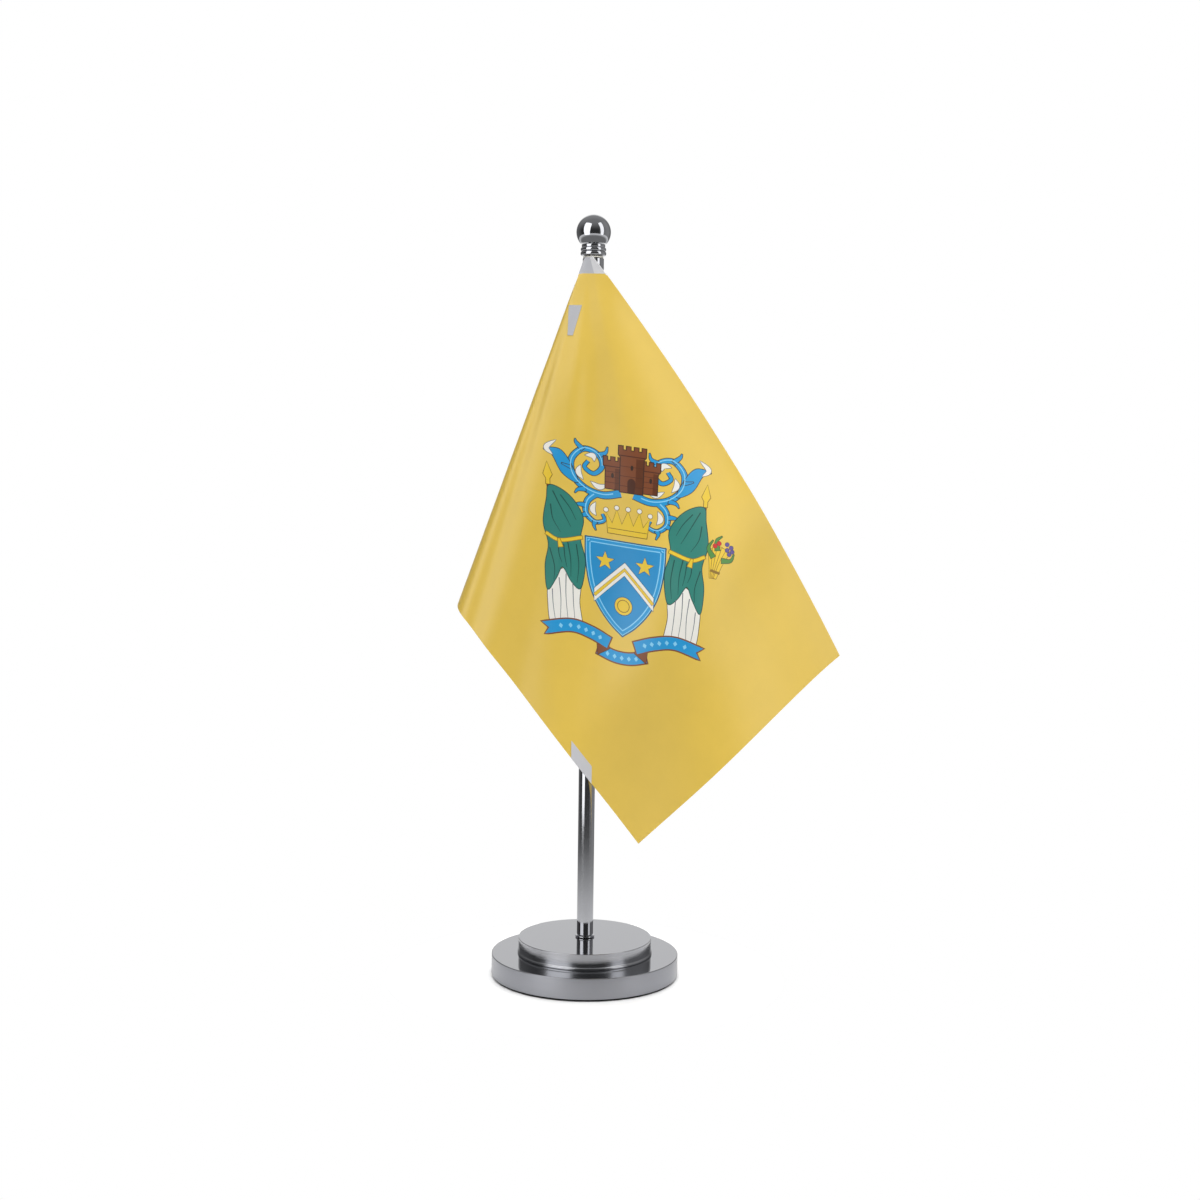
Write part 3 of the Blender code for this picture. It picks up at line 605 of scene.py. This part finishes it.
for across in (-8.2, 8.2):
    reaches = [STAR_SIZE if i % 2 == 0 else STAR_SIZE * STAR_WAIST for i in range(10)]
    star = [Vector((across + reach * sin(pi * i / 5), 9.6 + reach * cos(pi * i / 5)))
            for i, reach in enumerate(reaches)]
    ink(BRIGHT_GOLD, star, DEEP_BLUE, 0.25)
ink(BRIGHT_GOLD, oval((0, -8.2), 3.7, 3.7), DEEP_BLUE, 0.3)
ink(DEEP_GOLD, oval((0, -8.2), 2.7, 2.7), None)
ink(BRIGHT_GOLD, oval((0, -8.2), 2.35, 2.35), None)

# banners: furled round their staffs, green over white, tied with a gold cord
for side in BOTH:
    ink(DARK_RED, brush([(31.1, 38.5), (29.2, -20.4)], 0.95), sides=(side,), rim=0.2)
    ink(BRIGHT_GOLD, [(31.4, 47.4), (32.9, 42.2), (31.8, 40.4), (31.9, 38.2), (30.5, 38.2), (30.5, 40.4),
                      (29.5, 42.2)], DEEP_GOLD, 0.3, (side,))
    ink(WHITE, curve_through([(31.8, -3.0), (32.6, -12.0), (31.6, -20.0), (27.6, -19.2), (23.6, -20.4),
                              (19.6, -19.0), (17.6, -19.8), (19.0, -10.0), (18.8, -1.0), (25.0, 4.0)], True),
        sides=(side,))
    ink(TEAL, curve_through([(30.8, 37.6), (25.8, 36.6), (20.8, 32.4), (17.4, 25.6), (18.6, 17.0),
                             (16.6, 8.0), (18.4, -3.4), (22.2, -1.4), (26.0, 4.4), (28.8, -0.6),
                             (32.6, -6.0), (33.2, 4.0),
                             (31.6, 13.0), (33.4, 22.0), (31.8, 32.0)], True), DARK_TEAL, 0.35, (side,))
    for fold in (((29.4, 35.6), (26.0, 28.6), (22.4, 21.6)), ((26.4, 34.4), (22.6, 29.4), (20.2, 24.6)),
                 ((30.4, 30.0), (29.6, 24.0), (26.6, 18.8)), ((31.2, 11.6), (29.4, 4.0), (29.8, -1.6)),
                 ((27.6, 14.6), (27.4, 9.6), (26.2, 6.0)), ((23.8, 15.4), (22.6, 8.0), (22.6, 0.6)),
                 ((20.2, 14.6), (19.2, 6.0), (20.0, -1.6)), ((25.4, 14.0), (25.0, 8.8), (24.2, 4.4))):
        ink(DARK_TEAL, brush(curve_through(fold), 0.5, 0.2), None, sides=(side,))
    for fold in (((30.6, -5.6), (30.4, -12.0), (29.6, -18.6)), ((27.6, -0.4), (27.0, -9.0), (27.4, -17.8)),
                 ((24.6, 1.6), (24.8, -8.0), (24.0, -18.4)), ((21.8, -1.8), (21.6, -10.0), (21.0, -18.0))):
        ink(DARK_GREY, brush(curve_through(fold), 0.4, 0.2), None, sides=(side,))
    cord = curve_through([(32.6, 17.6), (27.0, 15.4), (17.8, 17.8)])
    ink(BRIGHT_GOLD, brush(cord, 1.3), DEEP_GOLD, 0.25, (side,))
    ink(BRIGHT_GOLD, brush([(27.4, 16.0), (26.6, 12.6)], 0.8, 1.9), DEEP_GOLD, 0.25, (side,))

# sheaf: gold ears with green leaves and berries, beside the right banner
for lean in (-2.6, -1.3, 0.0, 1.3, 2.6):
    ear = [(36.6 + lean * 0.35, 9.4), (37.4 + lean * 0.8, 15.6),
           (38.4 + lean * 1.45, 22.6 - abs(lean) * 0.5)]
    ink(BRIGHT_GOLD, brush(curve_through(ear), 1.0, 1.9), DEEP_GOLD, 0.22)
for spots in (((36.0, 18.0), (33.8, 21.6), (35.4, 25.0)), ((37.6, 21.0), (37.0, 25.0), (39.0, 27.0)),
              ((39.6, 17.0), (43.4, 17.4), (44.6, 20.2))):
    ink(GREEN, brush(curve_through(spots), 2.2, 0.4), INK, 0.2)
for berry in ((41.6, 21.6), (43.2, 22.8), (42.6, 20.0), (41.4, 24.0), (43.8, 21.2)):
    ink(PURPLE, oval(berry, 0.85, 0.85, steps=10), INK, 0.15)
for berry in ((36.4, 22.8), (38.0, 24.0)):
    ink(RED, oval(berry, 0.9, 0.9, steps=10), DARK_RED, 0.15)
ink(DEEP_GOLD, brush([(35.2, 12.6), (39.4, 11.6)], 1.1), None)

# ribbon: plain blue with a brown edge, two wings and a middle that dips under them
ink(BLUE, brush(curve_through([(-10.6, -27.6), (-4.8, -29.4), (0, -29.9), (4.8, -29.4), (10.6, -27.6)]), 4.6),
    BROWN, 0.6)
for side in BOTH:
    ink(BROWN, [(10.8, -30.2), (11.2, -25.4), (6.6, -22.2), (5.6, -27.0)], INK, 0.2, (side,))
    wing = curve_through([(5.8, -24.6), (14.0, -21.4), (23.0, -19.8), (35.0, -22.6)], steps=8)
    band = brush(wing, 5.0)
    ends = len(wing)
    band[ends:ends] = [wing[-1] + Vector((-2.6, 0.4))]
    ink(BLUE, band, BROWN, 0.6, (side,))
    for i in range(4, ends - 4, 3):
        spot, run = wing[i], (wing[i + 1] - wing[i - 1]).normalized()
        cross = run.orthogonal()
        ink(LIGHT_BLUE, [spot + run * 0.9, spot + cross * 1.1, spot - run * 0.9, spot - cross * 1.1], None,
            sides=(side,))
for place in (-6.4, -3.2, 0.0, 3.2, 6.4):
    spot = Vector((place, -29.9 + place * place * 0.02))
    ink(LIGHT_BLUE, [spot + Vector(way) for way in ((0.9, 0), (0, 1.1), (-0.9, 0), (0, -1.1))], None)


def as_seen(spot):
    return spot


# the corner under the finial is faced with plain grey satin; its right part is laid a paler grey as a painted
# highlight
TIP_FOOT = 298.0
TIP_TOP = APEX.z - 0.4
tip = [(-6.4, TIP_FOOT), (-2.3, TIP_TOP), (-2.0, TIP_TOP), (4.9, TIP_FOOT)]
lay(SATIN_GREY, [Vector(spot) for spot in tip], as_seen)
# painted highlight: the right part of the grey corner in a paler grey
lay(PAINTED_HIGHLIGHT_GREY, [Vector(spot) for spot in [(0.4, TIP_FOOT)] + tip[1:]], as_seen)

# a thin pale line along the top edge beside that corner: a painted highlight on that edge
layers.append((PAINTED_EDGE_HIGHLIGHT, np.array([(3.0, -0.4), (13.4, -0.4), (13.4, 0.4), (3.0, 0.4)])))


# ---- flag: the printed cloth ------------------------------------------------
# Polyester satin, hot-cut so that its edges are sealed, and printed right through. Its shiny face is
# outside. The mesh is laid out on the flat cloth, along the edges of the inks, and then hung.
CLOTH_THICK = 0.28
MESH_STEP = 1.25
INK_ROOM, RIM_ROOM = 0.62, 0.6
MAP_STEP = 100        # mm of cloth to one step of its flat map


def placed(name, data):
    """A new object in the scene that holds this mesh, light or camera."""
    item = bpy.data.objects.new(name, data)
    bpy.context.scene.collection.objects.link(item)
    return item


def cut_at(flat):
    return flag_ray(flat)[3]


def flat_cloth():
    """Points and edges of the flat cloth: its rim, the edges of the inks, and an even spread between."""
    rim = [(cut_at(turn) * cos(turn), cut_at(turn) * sin(turn)) for turn in np.linspace(0, pi / 2, 25)]
    corners = [(0, FLAG_DROP), (FLAG_WIDTH, FLAG_DROP), (FLAG_WIDTH, 0)]
    for start, end in zip([rim[-1]] + corners, corners + [rim[0]]):
        pieces = round(hypot(end[0] - start[0], end[1] - start[1]) / MESH_STEP)
        shares = np.linspace(0, 1, pieces + 1)[1:]
        rim += [(start[0] + (end[0] - start[0]) * s, start[1] + (end[1] - start[1]) * s) for s in shares]
    outlines = [np.array(rim[:-1])] + [outline for _, outline in layers]
    points, edges = [], []
    for outline in outlines:
        first = len(points)
        points += [tuple(spot) for spot in outline]
        edges += [(first + i, first + (i + 1) % len(outline)) for i in range(len(outline))]
    near = np.concatenate([outline[:, None] * (1 - s) + np.roll(outline, -1, 0)[:, None] * s
                           for outline in outlines for s in (0.0, 0.33, 0.67)]).reshape(-1, 2)
    taken = {(int(x), int(y)) for x, y in np.floor(near / INK_ROOM)}
    row_step = MESH_STEP * 0.866
    for row in range(1, int(FLAG_DROP / row_step)):
        for column in range(1, int(FLAG_WIDTH / MESH_STEP)):
            spot = (column * MESH_STEP + (row % 2) * MESH_STEP / 2, row * row_step)
            cell = (int(spot[0] / INK_ROOM), int(spot[1] / INK_ROOM))
            free = not any((cell[0] + i, cell[1] + j) in taken for i in (-1, 0, 1) for j in (-1, 0, 1))
            if free and spot[0] < FLAG_WIDTH - RIM_ROOM and spot[1] < FLAG_DROP - RIM_ROOM:
                points.append(spot)
    return points, edges


def inside(outline, spots):
    """Which spots lie inside a closed outline."""
    found = np.zeros(len(spots), bool)
    near = ((spots > outline.min(0)) & (spots < outline.max(0))).all(1)
    x, y = spots[near].T
    hit = np.zeros(len(x), bool)
    for (x0, y0), (x1, y1) in zip(outline, np.roll(outline, -1, 0)):
        if y0 != y1:
            hit ^= ((y0 > y) != (y1 > y)) & (x < (x1 - x0) * (y - y0) / (y1 - y0) + x0)
    found[near] = hit
    return found


points, edges = flat_cloth()
spots, _, faces, _, _, _ = delaunay_2d_cdt([Vector(point) for point in points], edges, [], 0, 0.01)
flat_spots = np.array([tuple(spot) for spot in spots])
triangles = np.array([face for face in faces if len(face) == 3])
middles = flat_spots[triangles].mean(axis=1)
SLIVER = 0.02
kept = [SLIVER < x < FLAG_WIDTH - SLIVER and SLIVER < y < FLAG_DROP - SLIVER
        and hypot(x, y) > cut_at(atan2(y, x)) + SLIVER for x, y in middles]
triangles, middles = triangles[kept], middles[kept]
used, triangles = np.unique(triangles, return_inverse=True)
flat_spots, triangles = flat_spots[used], triangles.reshape(-1, 3)
colours = np.tile((*linear(GOLD), 1.0), (len(triangles), 1))
for colour, outline in layers:
    colours[inside(outline, middles)] = (*linear(colour), 1.0)

mesh = bpy.data.meshes.new("flag")
mesh.from_pydata([hung(*spot) * MM for spot in flat_spots], [], triangles[:, ::-1].tolist())
print_colour = mesh.color_attributes.new("print", "FLOAT_COLOR", "CORNER")
print_colour.data.foreach_set("color", np.repeat(colours, 3, axis=0).ravel())
flat_map = mesh.uv_layers.new(name="flat")
corner_spots = flat_spots[[loop.vertex_index for loop in mesh.loops]] / MAP_STEP
flat_map.data.foreach_set("uv", corner_spots.ravel())
flag = placed("flag", mesh)


def satin(name, colour, shine, reverse=False):
    """Woven satin: a smooth face of long floating threads, with the ink or dye in the thread."""
    material, tree, shader = new_finish(name, colour, 0.0, shine, IOR=1.53, Sheen_Weight=0.2,
                                        Sheen_Roughness=0.4, Specular_IOR_Level=0.6)
    flat = add_node(tree, "UVMap", uv_map="flat").outputs["UV"]
    ink_colour = add_node(tree, "Attribute", attribute_name="print").outputs["Color"]
    # satin threads are 0.1 mm apart, too fine to show, so the floats are drawn 0.45 mm apart
    along = add_node(tree, "Mapping", {"Vector": flat, "Scale": (12.0, 222.0, 1.0)})
    floats = add_node(tree, "TexNoise", {"Vector": along.outputs[0], "Scale": 1.0, "Detail": 1.0})
    across = add_node(tree, "Mapping", {"Vector": flat, "Scale": (222.0, 22.0, 1.0)})
    ties = add_node(tree, "TexNoise", {"Vector": across.outputs[0], "Scale": 1.0, "Detail": 1.0})
    weave = add_node(tree, "Math", {0: floats.outputs["Fac"], 1: ties.outputs["Fac"]}, operation="ADD")
    cloud = add_node(tree, "TexNoise", {"Vector": flat, "Scale": 7.0, "Detail": 4.0, "Roughness": 0.6})
    both = add_node(tree, "MapRange", {"Value": cloud.outputs["Fac"], "From Min": 0.3, "From Max": 0.7,
                                       "To Min": 0.98, "To Max": 1.02})
    tone = add_node(tree, "HueSaturation", {"Color": ink_colour, "Value": both.outputs["Result"]})
    if reverse:
        tone.inputs["Saturation"].default_value = 0.86
    tree.links.new(tone.outputs["Color"], shader.inputs["Base Color"])
    rough = add_node(tree, "MapRange", {"Value": weave.outputs[0], "From Min": 0.6, "From Max": 1.4,
                                        "To Min": shine - 0.06, "To Max": shine + 0.06})
    tree.links.new(rough.outputs["Result"], shader.inputs["Roughness"])
    threads = add_node(tree, "Bump", {"Height": weave.outputs[0], "Strength": 0.12, "Distance": 0.05 * MM})
    tree.links.new(threads.outputs["Normal"], shader.inputs["Normal"])
    return material


SATIN_FACE = satin("polyester_satin_face", GOLD, 0.36)
SATIN_REVERSE = satin("polyester_satin_reverse", GOLD, 0.62, reverse=True)
SEALED_EDGE = satin("polyester_satin_hot_cut_edge", "#A98F4E", 0.5)


def thickened(piece, thick, *materials):
    """Gives a sheet its thickness, with its reverse and its edge in materials of their own."""
    dress(piece, *materials)
    solid = piece.modifiers.new("thickness", "SOLIDIFY")
    solid.thickness = thick * MM
    solid.offset = 0.0
    solid.material_offset = 1 if len(materials) > 1 else 0
    solid.material_offset_rim = 2 if len(materials) > 2 else 0
    select_only(piece)
    bpy.ops.object.shade_smooth_by_angle(angle=radians(50))
    bpy.ops.object.modifier_apply(modifier=solid.name)
    bpy.ops.object.shade_smooth_by_angle(angle=radians(50))


thickened(flag, CLOTH_THICK, SATIN_FACE, SATIN_REVERSE, SEALED_EDGE)
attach(flag, "flag")
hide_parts("flag_cloth")


# ---- flag: sleeve, keeper and labels ----------------------------------------
# Grey satin ribbon, sewn on. The sleeve is a tube on the pole that holds the hoist, the keeper is a loop
# that holds the lower edge to the pole, and a patch and a small label lie on the front.
CLEAR = 0.05


def front_depth(x, z):
    """How far back the front layer lies at a place seen from the front."""
    side, fall = x - APEX.x, APEX.z - z
    distance, angle = hypot(side, fall), atan2(side, fall)
    swell = ripple(x, z) * ease((angle - FOLD_START) / radians(3))
    return APEX.y + distance * tan(depth_angle(angle)) * ease(distance / 35) + swell


def ribbon(name, columns, rows, place, thick, colour=SATIN_GREY, closed=False):
    """A piece of satin ribbon: a grid that a rule puts in place, with the ribbon's own colour."""
    points = [place(i / columns, j / rows) for j in range(rows + 1) for i in range(columns + 1 - closed)]
    across = columns + 1 - closed
    quads = [(j * across + i, j * across + (i + 1) % across, (j + 1) * across + (i + 1) % across,
              (j + 1) * across + i) for j in range(rows) for i in range(columns)]
    mesh = bpy.data.meshes.new(name)
    mesh.from_pydata([Vector(point) * MM for point in points], [], quads)
    tint = mesh.color_attributes.new("print", "FLOAT_COLOR", "CORNER")
    tint.data.foreach_set("color", (*linear(colour), 1.0) * len(mesh.loops))
    flat_map = mesh.uv_layers.new(name="flat")
    corners = [(i, j) for row in range(rows) for column in range(columns)
               for i, j in ((column, row), (column + 1, row), (column + 1, row + 1), (column, row + 1))]
    wide = (Vector(points[1]) - Vector(points[0])).length * columns / MAP_STEP
    tall = (Vector(points[across]) - Vector(points[0])).length * rows / MAP_STEP
    flat_map.data.foreach_set("uv", [v for i, j in corners for v in (i / columns * wide, j / rows * tall)])
    piece = placed(name, mesh)
    thickened(piece, thick, SATIN_RIBBON)
    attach(piece, "flag")
    return piece


SATIN_RIBBON = satin("polyester_satin_ribbon", SATIN_GREY, 0.42)
sleeve_inner = POLE_RADIUS / MM + 0.3
sleeve_wall = SLEEVE_HIGH.x / MM - sleeve_inner


def on_sleeve(around, up):
    """The sleeve: a tube that puckers a little between its stitches, with a seam at the hoist."""
    turn = 2 * pi * around
    height = SLEEVE_LOW.z / MM + (SLEEVE_HIGH.z - SLEEVE_LOW.z) / MM * up
    pucker = 0.09 * sin(height * 1.9 + 2.2 * sin(turn)) * sin(3 * turn + height * 0.31)
    radius = sleeve_inner + sleeve_wall / 2 + 0.1 + pucker
    return radius * cos(turn), radius * sin(turn), height


sleeve = ribbon("flag_pole_sleeve", 48, 160, on_sleeve, sleeve_wall - 0.15, closed=True)
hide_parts("flag_sleeve")

low, high = (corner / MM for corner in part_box("flag_keeper"))
KEEPER_THICK = 0.4
loop_half = high.x - KEEPER_THICK / 2
loop_front = low.y + KEEPER_THICK / 2
loop_path = curve_through([(loop_half * cos(pi * i / 12), loop_half * sin(pi * i / 12)) for i in range(13)]
                          + [(-loop_half, loop_front * 0.5), (-loop_half + 0.25, loop_front * 0.94),
                             (-loop_half + 1.0, loop_front), (0, loop_front), (loop_half - 1.0, loop_front),
                             (loop_half - 0.25, loop_front * 0.94), (loop_half, loop_front * 0.5)], True, 4)


def on_keeper(around, up):
    spot = loop_path[round(around * len(loop_path)) % len(loop_path)]
    return spot.x, spot.y, low.z + (high.z - low.z) * up


keeper = ribbon("keeper_loop", len(loop_path), 6, on_keeper, KEEPER_THICK, closed=True)
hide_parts("flag_keeper")


def lower_edge(x):
    """Height of the flag's lower left edge at a place across."""
    left = Vector((FOLD_REACH * sin(FOLD_ANGLE), -FOLD_REACH * cos(FOLD_ANGLE)))
    right = Vector((POINT_REACH * sin(POINT_ANGLE), -POINT_REACH * cos(POINT_ANGLE)))
    return APEX.z + left.y + (right.y - left.y) * (x - APEX.x - left.x) / (right.x - left.x)


RIBBON_THICK = 0.22
FRONT_LIFT = CLOTH_THICK / 2 + RIBBON_THICK / 2 + CLEAR
PATCH_MIDDLE, PATCH_WIDTH, PATCH_HEIGHT = -2.35, 8.7, 7.5
LABEL_DROP, LABEL_HEIGHT, LABEL_WIDE, LABEL_NARROW = 23.2, 12.5, 5.4, 2.2
LABEL_TOP = APEX.z - LABEL_DROP


def on_patch(across, up):
    x = PATCH_MIDDLE + PATCH_WIDTH * (across - 0.5)
    z = lower_edge(x) + PATCH_HEIGHT * up
    return x, front_depth(x, z) - FRONT_LIFT, z


def on_label(across, up):
    down = 1 - up
    edge = APEX.x + LABEL_DROP * tan(FOLD_ANGLE) + 0.6 - 0.4 * down
    x = edge + (LABEL_WIDE + (LABEL_NARROW - LABEL_WIDE) * down) * across
    z = LABEL_TOP - LABEL_HEIGHT * down
    return x, front_depth(x, z) - FRONT_LIFT, z


patch = ribbon("keeper_patch", 16, 14, on_patch, RIBBON_THICK, PATCH_GREY)
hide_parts("flag_keeper_patch")
label = ribbon("side_label", 12, 20, on_label, RIBBON_THICK)
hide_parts("flag_label")


# ---- flag: stitching --------------------------------------------------------
# Grey polyester thread. One row sews the hoist to the sleeve, and short rows hold the patch and the label.
THREAD, tree, shader = new_finish("polyester_sewing_thread", "#C6C6CA", 0.0, 0.5, IOR=1.53, Sheen_Weight=0.3)
place = add_node(tree, "TexCoord").outputs["Object"]
twist = add_node(tree, "TexNoise", {"Vector": place, "Scale": 4000.0})
twisted = add_node(tree, "Bump", {"Height": twist.outputs["Fac"], "Strength": 0.3, "Distance": 0.03 * MM})
tree.links.new(twisted.outputs["Normal"], shader.inputs["Normal"])


def stitched(name, spots, thick=0.16):
    """Stitches along a row of spots: each is a short, slightly flattened bead of thread."""
    shape = bmesh.new()
    for start, end in zip(spots[:-1:2], spots[1::2]):
        run = end - start
        turn = run.to_track_quat("X", "Z").to_matrix().to_4x4()
        size = Matrix.Diagonal((run.length / 2, thick / 2, thick / 2, 1))
        bmesh.ops.create_icosphere(shape, subdivisions=1, radius=1.0,
                                   matrix=Matrix.Translation((start + end) / 2) @ turn @ size)
    bmesh.ops.scale(shape, vec=(MM, MM, MM), verts=shape.verts)
    mesh = bpy.data.meshes.new(name)
    shape.to_mesh(mesh)
    shape.free()
    piece = placed(name, mesh)
    mesh.shade_smooth()
    dress(piece, THREAD)
    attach(piece, "flag")
    return piece


def off_cloth(across, down, lift):
    """A spot just off the cloth's face, towards the side that the lift says."""
    along = hung(across + 0.2, down) - hung(across, down)
    below = hung(across, down + 0.2) - hung(across, down)
    return hung(across, down) + below.cross(along).normalized() * lift


hoist_rows = []
for lift in (CLOTH_THICK / 2 + 0.04, -CLOTH_THICK / 2 - 0.04):
    hoist_rows += [off_cloth(1.4, down, lift) for stitch in np.arange(14.0, 137.0, 2.2)
                   for down in (stitch, stitch + 1.7)]
hoist_stitches = stitched("hoist_stitching", hoist_rows)


def hemmed(place, wide, tall, inset=0.6):
    """Spots of a row of stitches round a ribbon piece, just inside its edge."""
    u, v = inset / wide, inset / tall
    corners = [(u, v), (1 - u, v), (1 - u, 1 - v), (u, 1 - v), (u, v)]
    spots = []
    for (u0, v0), (u1, v1) in zip(corners, corners[1:]):
        count = max(2, round(hypot((u1 - u0) * wide, (v1 - v0) * tall) / 1.1))
        for i in range(count):
            for share in (i / count, (i + 0.75) / count):
                x, y, z = place(u0 + (u1 - u0) * share, v0 + (v1 - v0) * share)
                spots.append(Vector((x, y - RIBBON_THICK / 2, z)))
    return spots


patch_stitches = stitched("patch_stitching", hemmed(on_patch, PATCH_WIDTH, PATCH_HEIGHT), 0.12)
label_stitches = stitched("label_stitching", hemmed(on_label, LABEL_WIDE, LABEL_HEIGHT), 0.12)


# ---- stop ring --------------------------------------------------------------
# A black rubber ring that grips the pole under the sleeve and carries the flag's weight.
low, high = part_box("sleeve_stop_ring")
ring_thick = (high.z - low.z) / 2
outline = [(high.x - ring_thick + ring_thick * cos(turn), low.z + ring_thick + ring_thick * sin(turn))
           for turn in np.linspace(0, 2 * pi, 25)]
stop_ring = turned("rubber_stop_ring", outline, 64)
bpy.ops.object.shade_smooth()
dress(stop_ring, RUBBER)
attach(stop_ring, "stop_ring")
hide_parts("sleeve_stop_ring")


# ---- studio -----------------------------------------------------------------
# A pale table under soft light: a tall window of light at each side, a low bright band behind and a
# large soft light over the camera. The camera stands low in front.
def soft_light(name, azimuth, elevation, distance, size, power, glossy=True, diffuse=True):
    """An area light that faces the stand. Azimuth 0 is in front, and it grows to the right."""
    data = bpy.data.lights.new(name, "AREA")
    data.shape = "RECTANGLE"
    data.size, data.size_y = size
    data.energy = power
    light = placed(name, data)
    turn, rise = radians(azimuth), radians(elevation)
    way = Vector((sin(turn) * cos(rise), -cos(turn) * cos(rise), sin(rise)))
    middle = Vector((0.0, 0.0, 0.2))
    light.location = middle + way * distance
    light.rotation_euler = (-way).to_track_quat("-Z", "Y").to_euler()
    light.visible_camera = False
    light.visible_glossy = glossy
    light.visible_diffuse = diffuse
    return light


soft_light("left_window", -46, 20, 1.6, (1.29, 2.3), 18.6, diffuse=False)
soft_light("right_window", 59, 22, 1.6, (0.68, 2.2), 7.2)
soft_light("front_fill", 0, 25, 2.0, (1.6, 1.2), 25.5, glossy=False)
soft_light("rear_fill", 180, 30, 2.0, (2.4, 1.6), 20, glossy=False)
sky_data = bpy.data.lights.new("sky", "SUN")
sky_data.energy = 2.2
sky_data.angle = radians(55)
sky = placed("sky", sky_data)
sky.visible_glossy = False

world = bpy.data.worlds.new("studio")
bpy.context.scene.world = world
world.use_nodes = True
tree = world.node_tree
way = add_node(tree, "SeparateXYZ", {"Vector": add_node(tree, "TexCoord").outputs["Generated"]})
turn = add_node(tree, "Math", {0: way.outputs["X"], 1: way.outputs["Y"]}, operation="ARCTAN2")
aside = add_node(tree, "Math", {0: turn.outputs[0]}, operation="ABSOLUTE")
behind = add_node(tree, "MapRange", {"Value": aside.outputs[0], "From Min": radians(30),
                                     "From Max": radians(14)}, interpolation_type="SMOOTHSTEP")
low_down = add_node(tree, "MapRange", {"Value": way.outputs["Z"], "From Min": 0.85, "From Max": 0.55,
                                       "To Max": 0.9}, interpolation_type="SMOOTHSTEP")
band = add_node(tree, "Math", {0: behind.outputs[0], 1: low_down.outputs[0]}, operation="MULTIPLY")
upper = add_node(tree, "MapRange", {"Value": way.outputs["Z"], "From Min": 0.12, "From Max": 1.0,
                                    "To Min": 0.045, "To Max": 0.28}, interpolation_type="SMOOTHSTEP")
aft = add_node(tree, "MapRange", {"Value": way.outputs["Y"], "From Min": -0.1, "From Max": 0.5,
                                  "To Max": 0.11})
right = add_node(tree, "MapRange", {"Value": way.outputs["X"], "From Min": 0.55, "From Max": 1.0,
                                    "To Max": 0.25})
sides = add_node(tree, "Math", {0: aft.outputs[0], 1: right.outputs[0]}, operation="ADD")
dim = add_node(tree, "Math", {0: upper.outputs[0], 1: sides.outputs[0]}, operation="ADD")
above = add_node(tree, "Math", {0: band.outputs[0], 1: dim.outputs[0]}, operation="MAXIMUM")
below = add_node(tree, "MapRange", {"Value": way.outputs["Z"], "From Min": -0.205, "From Max": -0.27,
                                    "To Max": 0.94}, interpolation_type="SMOOTHSTEP")
fading = add_node(tree, "MapRange", {"Value": way.outputs["Z"], "From Min": -0.28, "From Max": -0.5,
                                     "To Max": 0.7}, interpolation_type="SMOOTHSTEP")
ground = add_node(tree, "Math", {0: below.outputs[0], 1: fading.outputs[0]}, operation="SUBTRACT")
studio = add_node(tree, "Math", {0: above.outputs[0], 1: ground.outputs[0]}, operation="MAXIMUM")
seen = add_node(tree, "LightPath")
either = add_node(tree, "Math", {0: seen.outputs["Is Camera Ray"], 1: studio.outputs[0]}, operation="MAXIMUM")
background = tree.nodes["Background"]
tree.links.new(either.outputs[0], background.inputs["Strength"])
background.inputs["Color"].default_value = (1, 1, 1, 1)

bpy.ops.object.select_all(action="DESELECT")
TABLE_RADIUS = 0.085
bpy.ops.mesh.primitive_circle_add(vertices=256, radius=TABLE_RADIUS, fill_type="NGON")
floor = bpy.context.object
floor.name = "table_top"
TABLE, tree, shader = new_finish("white_laminate", "#F8F8F8", 0.0, 0.6, IOR=1.5)
place = add_node(tree, "TexCoord").outputs["Object"]
haze = add_node(tree, "TexNoise", {"Vector": place, "Scale": 3.0})
tone = add_node(tree, "MapRange", {"Value": haze.outputs["Fac"], "To Min": 0.58, "To Max": 0.62})
tree.links.new(tone.outputs["Result"], shader.inputs["Roughness"])
dress(floor, TABLE)

camera_data = bpy.data.cameras.new("camera")
camera_data.lens = 54.0
camera_data.sensor_width = 36.0
camera = placed("camera", camera_data)
CAMERA_PLACE = (0.0, -0.75968, 0.22634)
PAN, TILT, ROLL = radians(-0.3492), radians(90 - 4.851), radians(0.7501)
camera.matrix_world = (Matrix.Translation(CAMERA_PLACE) @ Matrix.Rotation(PAN, 4, "Z")
                       @ Matrix.Rotation(TILT, 4, "X") @ Matrix.Rotation(ROLL, 4, "Z"))
bpy.context.scene.camera = camera
bpy.context.scene.view_settings.view_transform = "Standard"
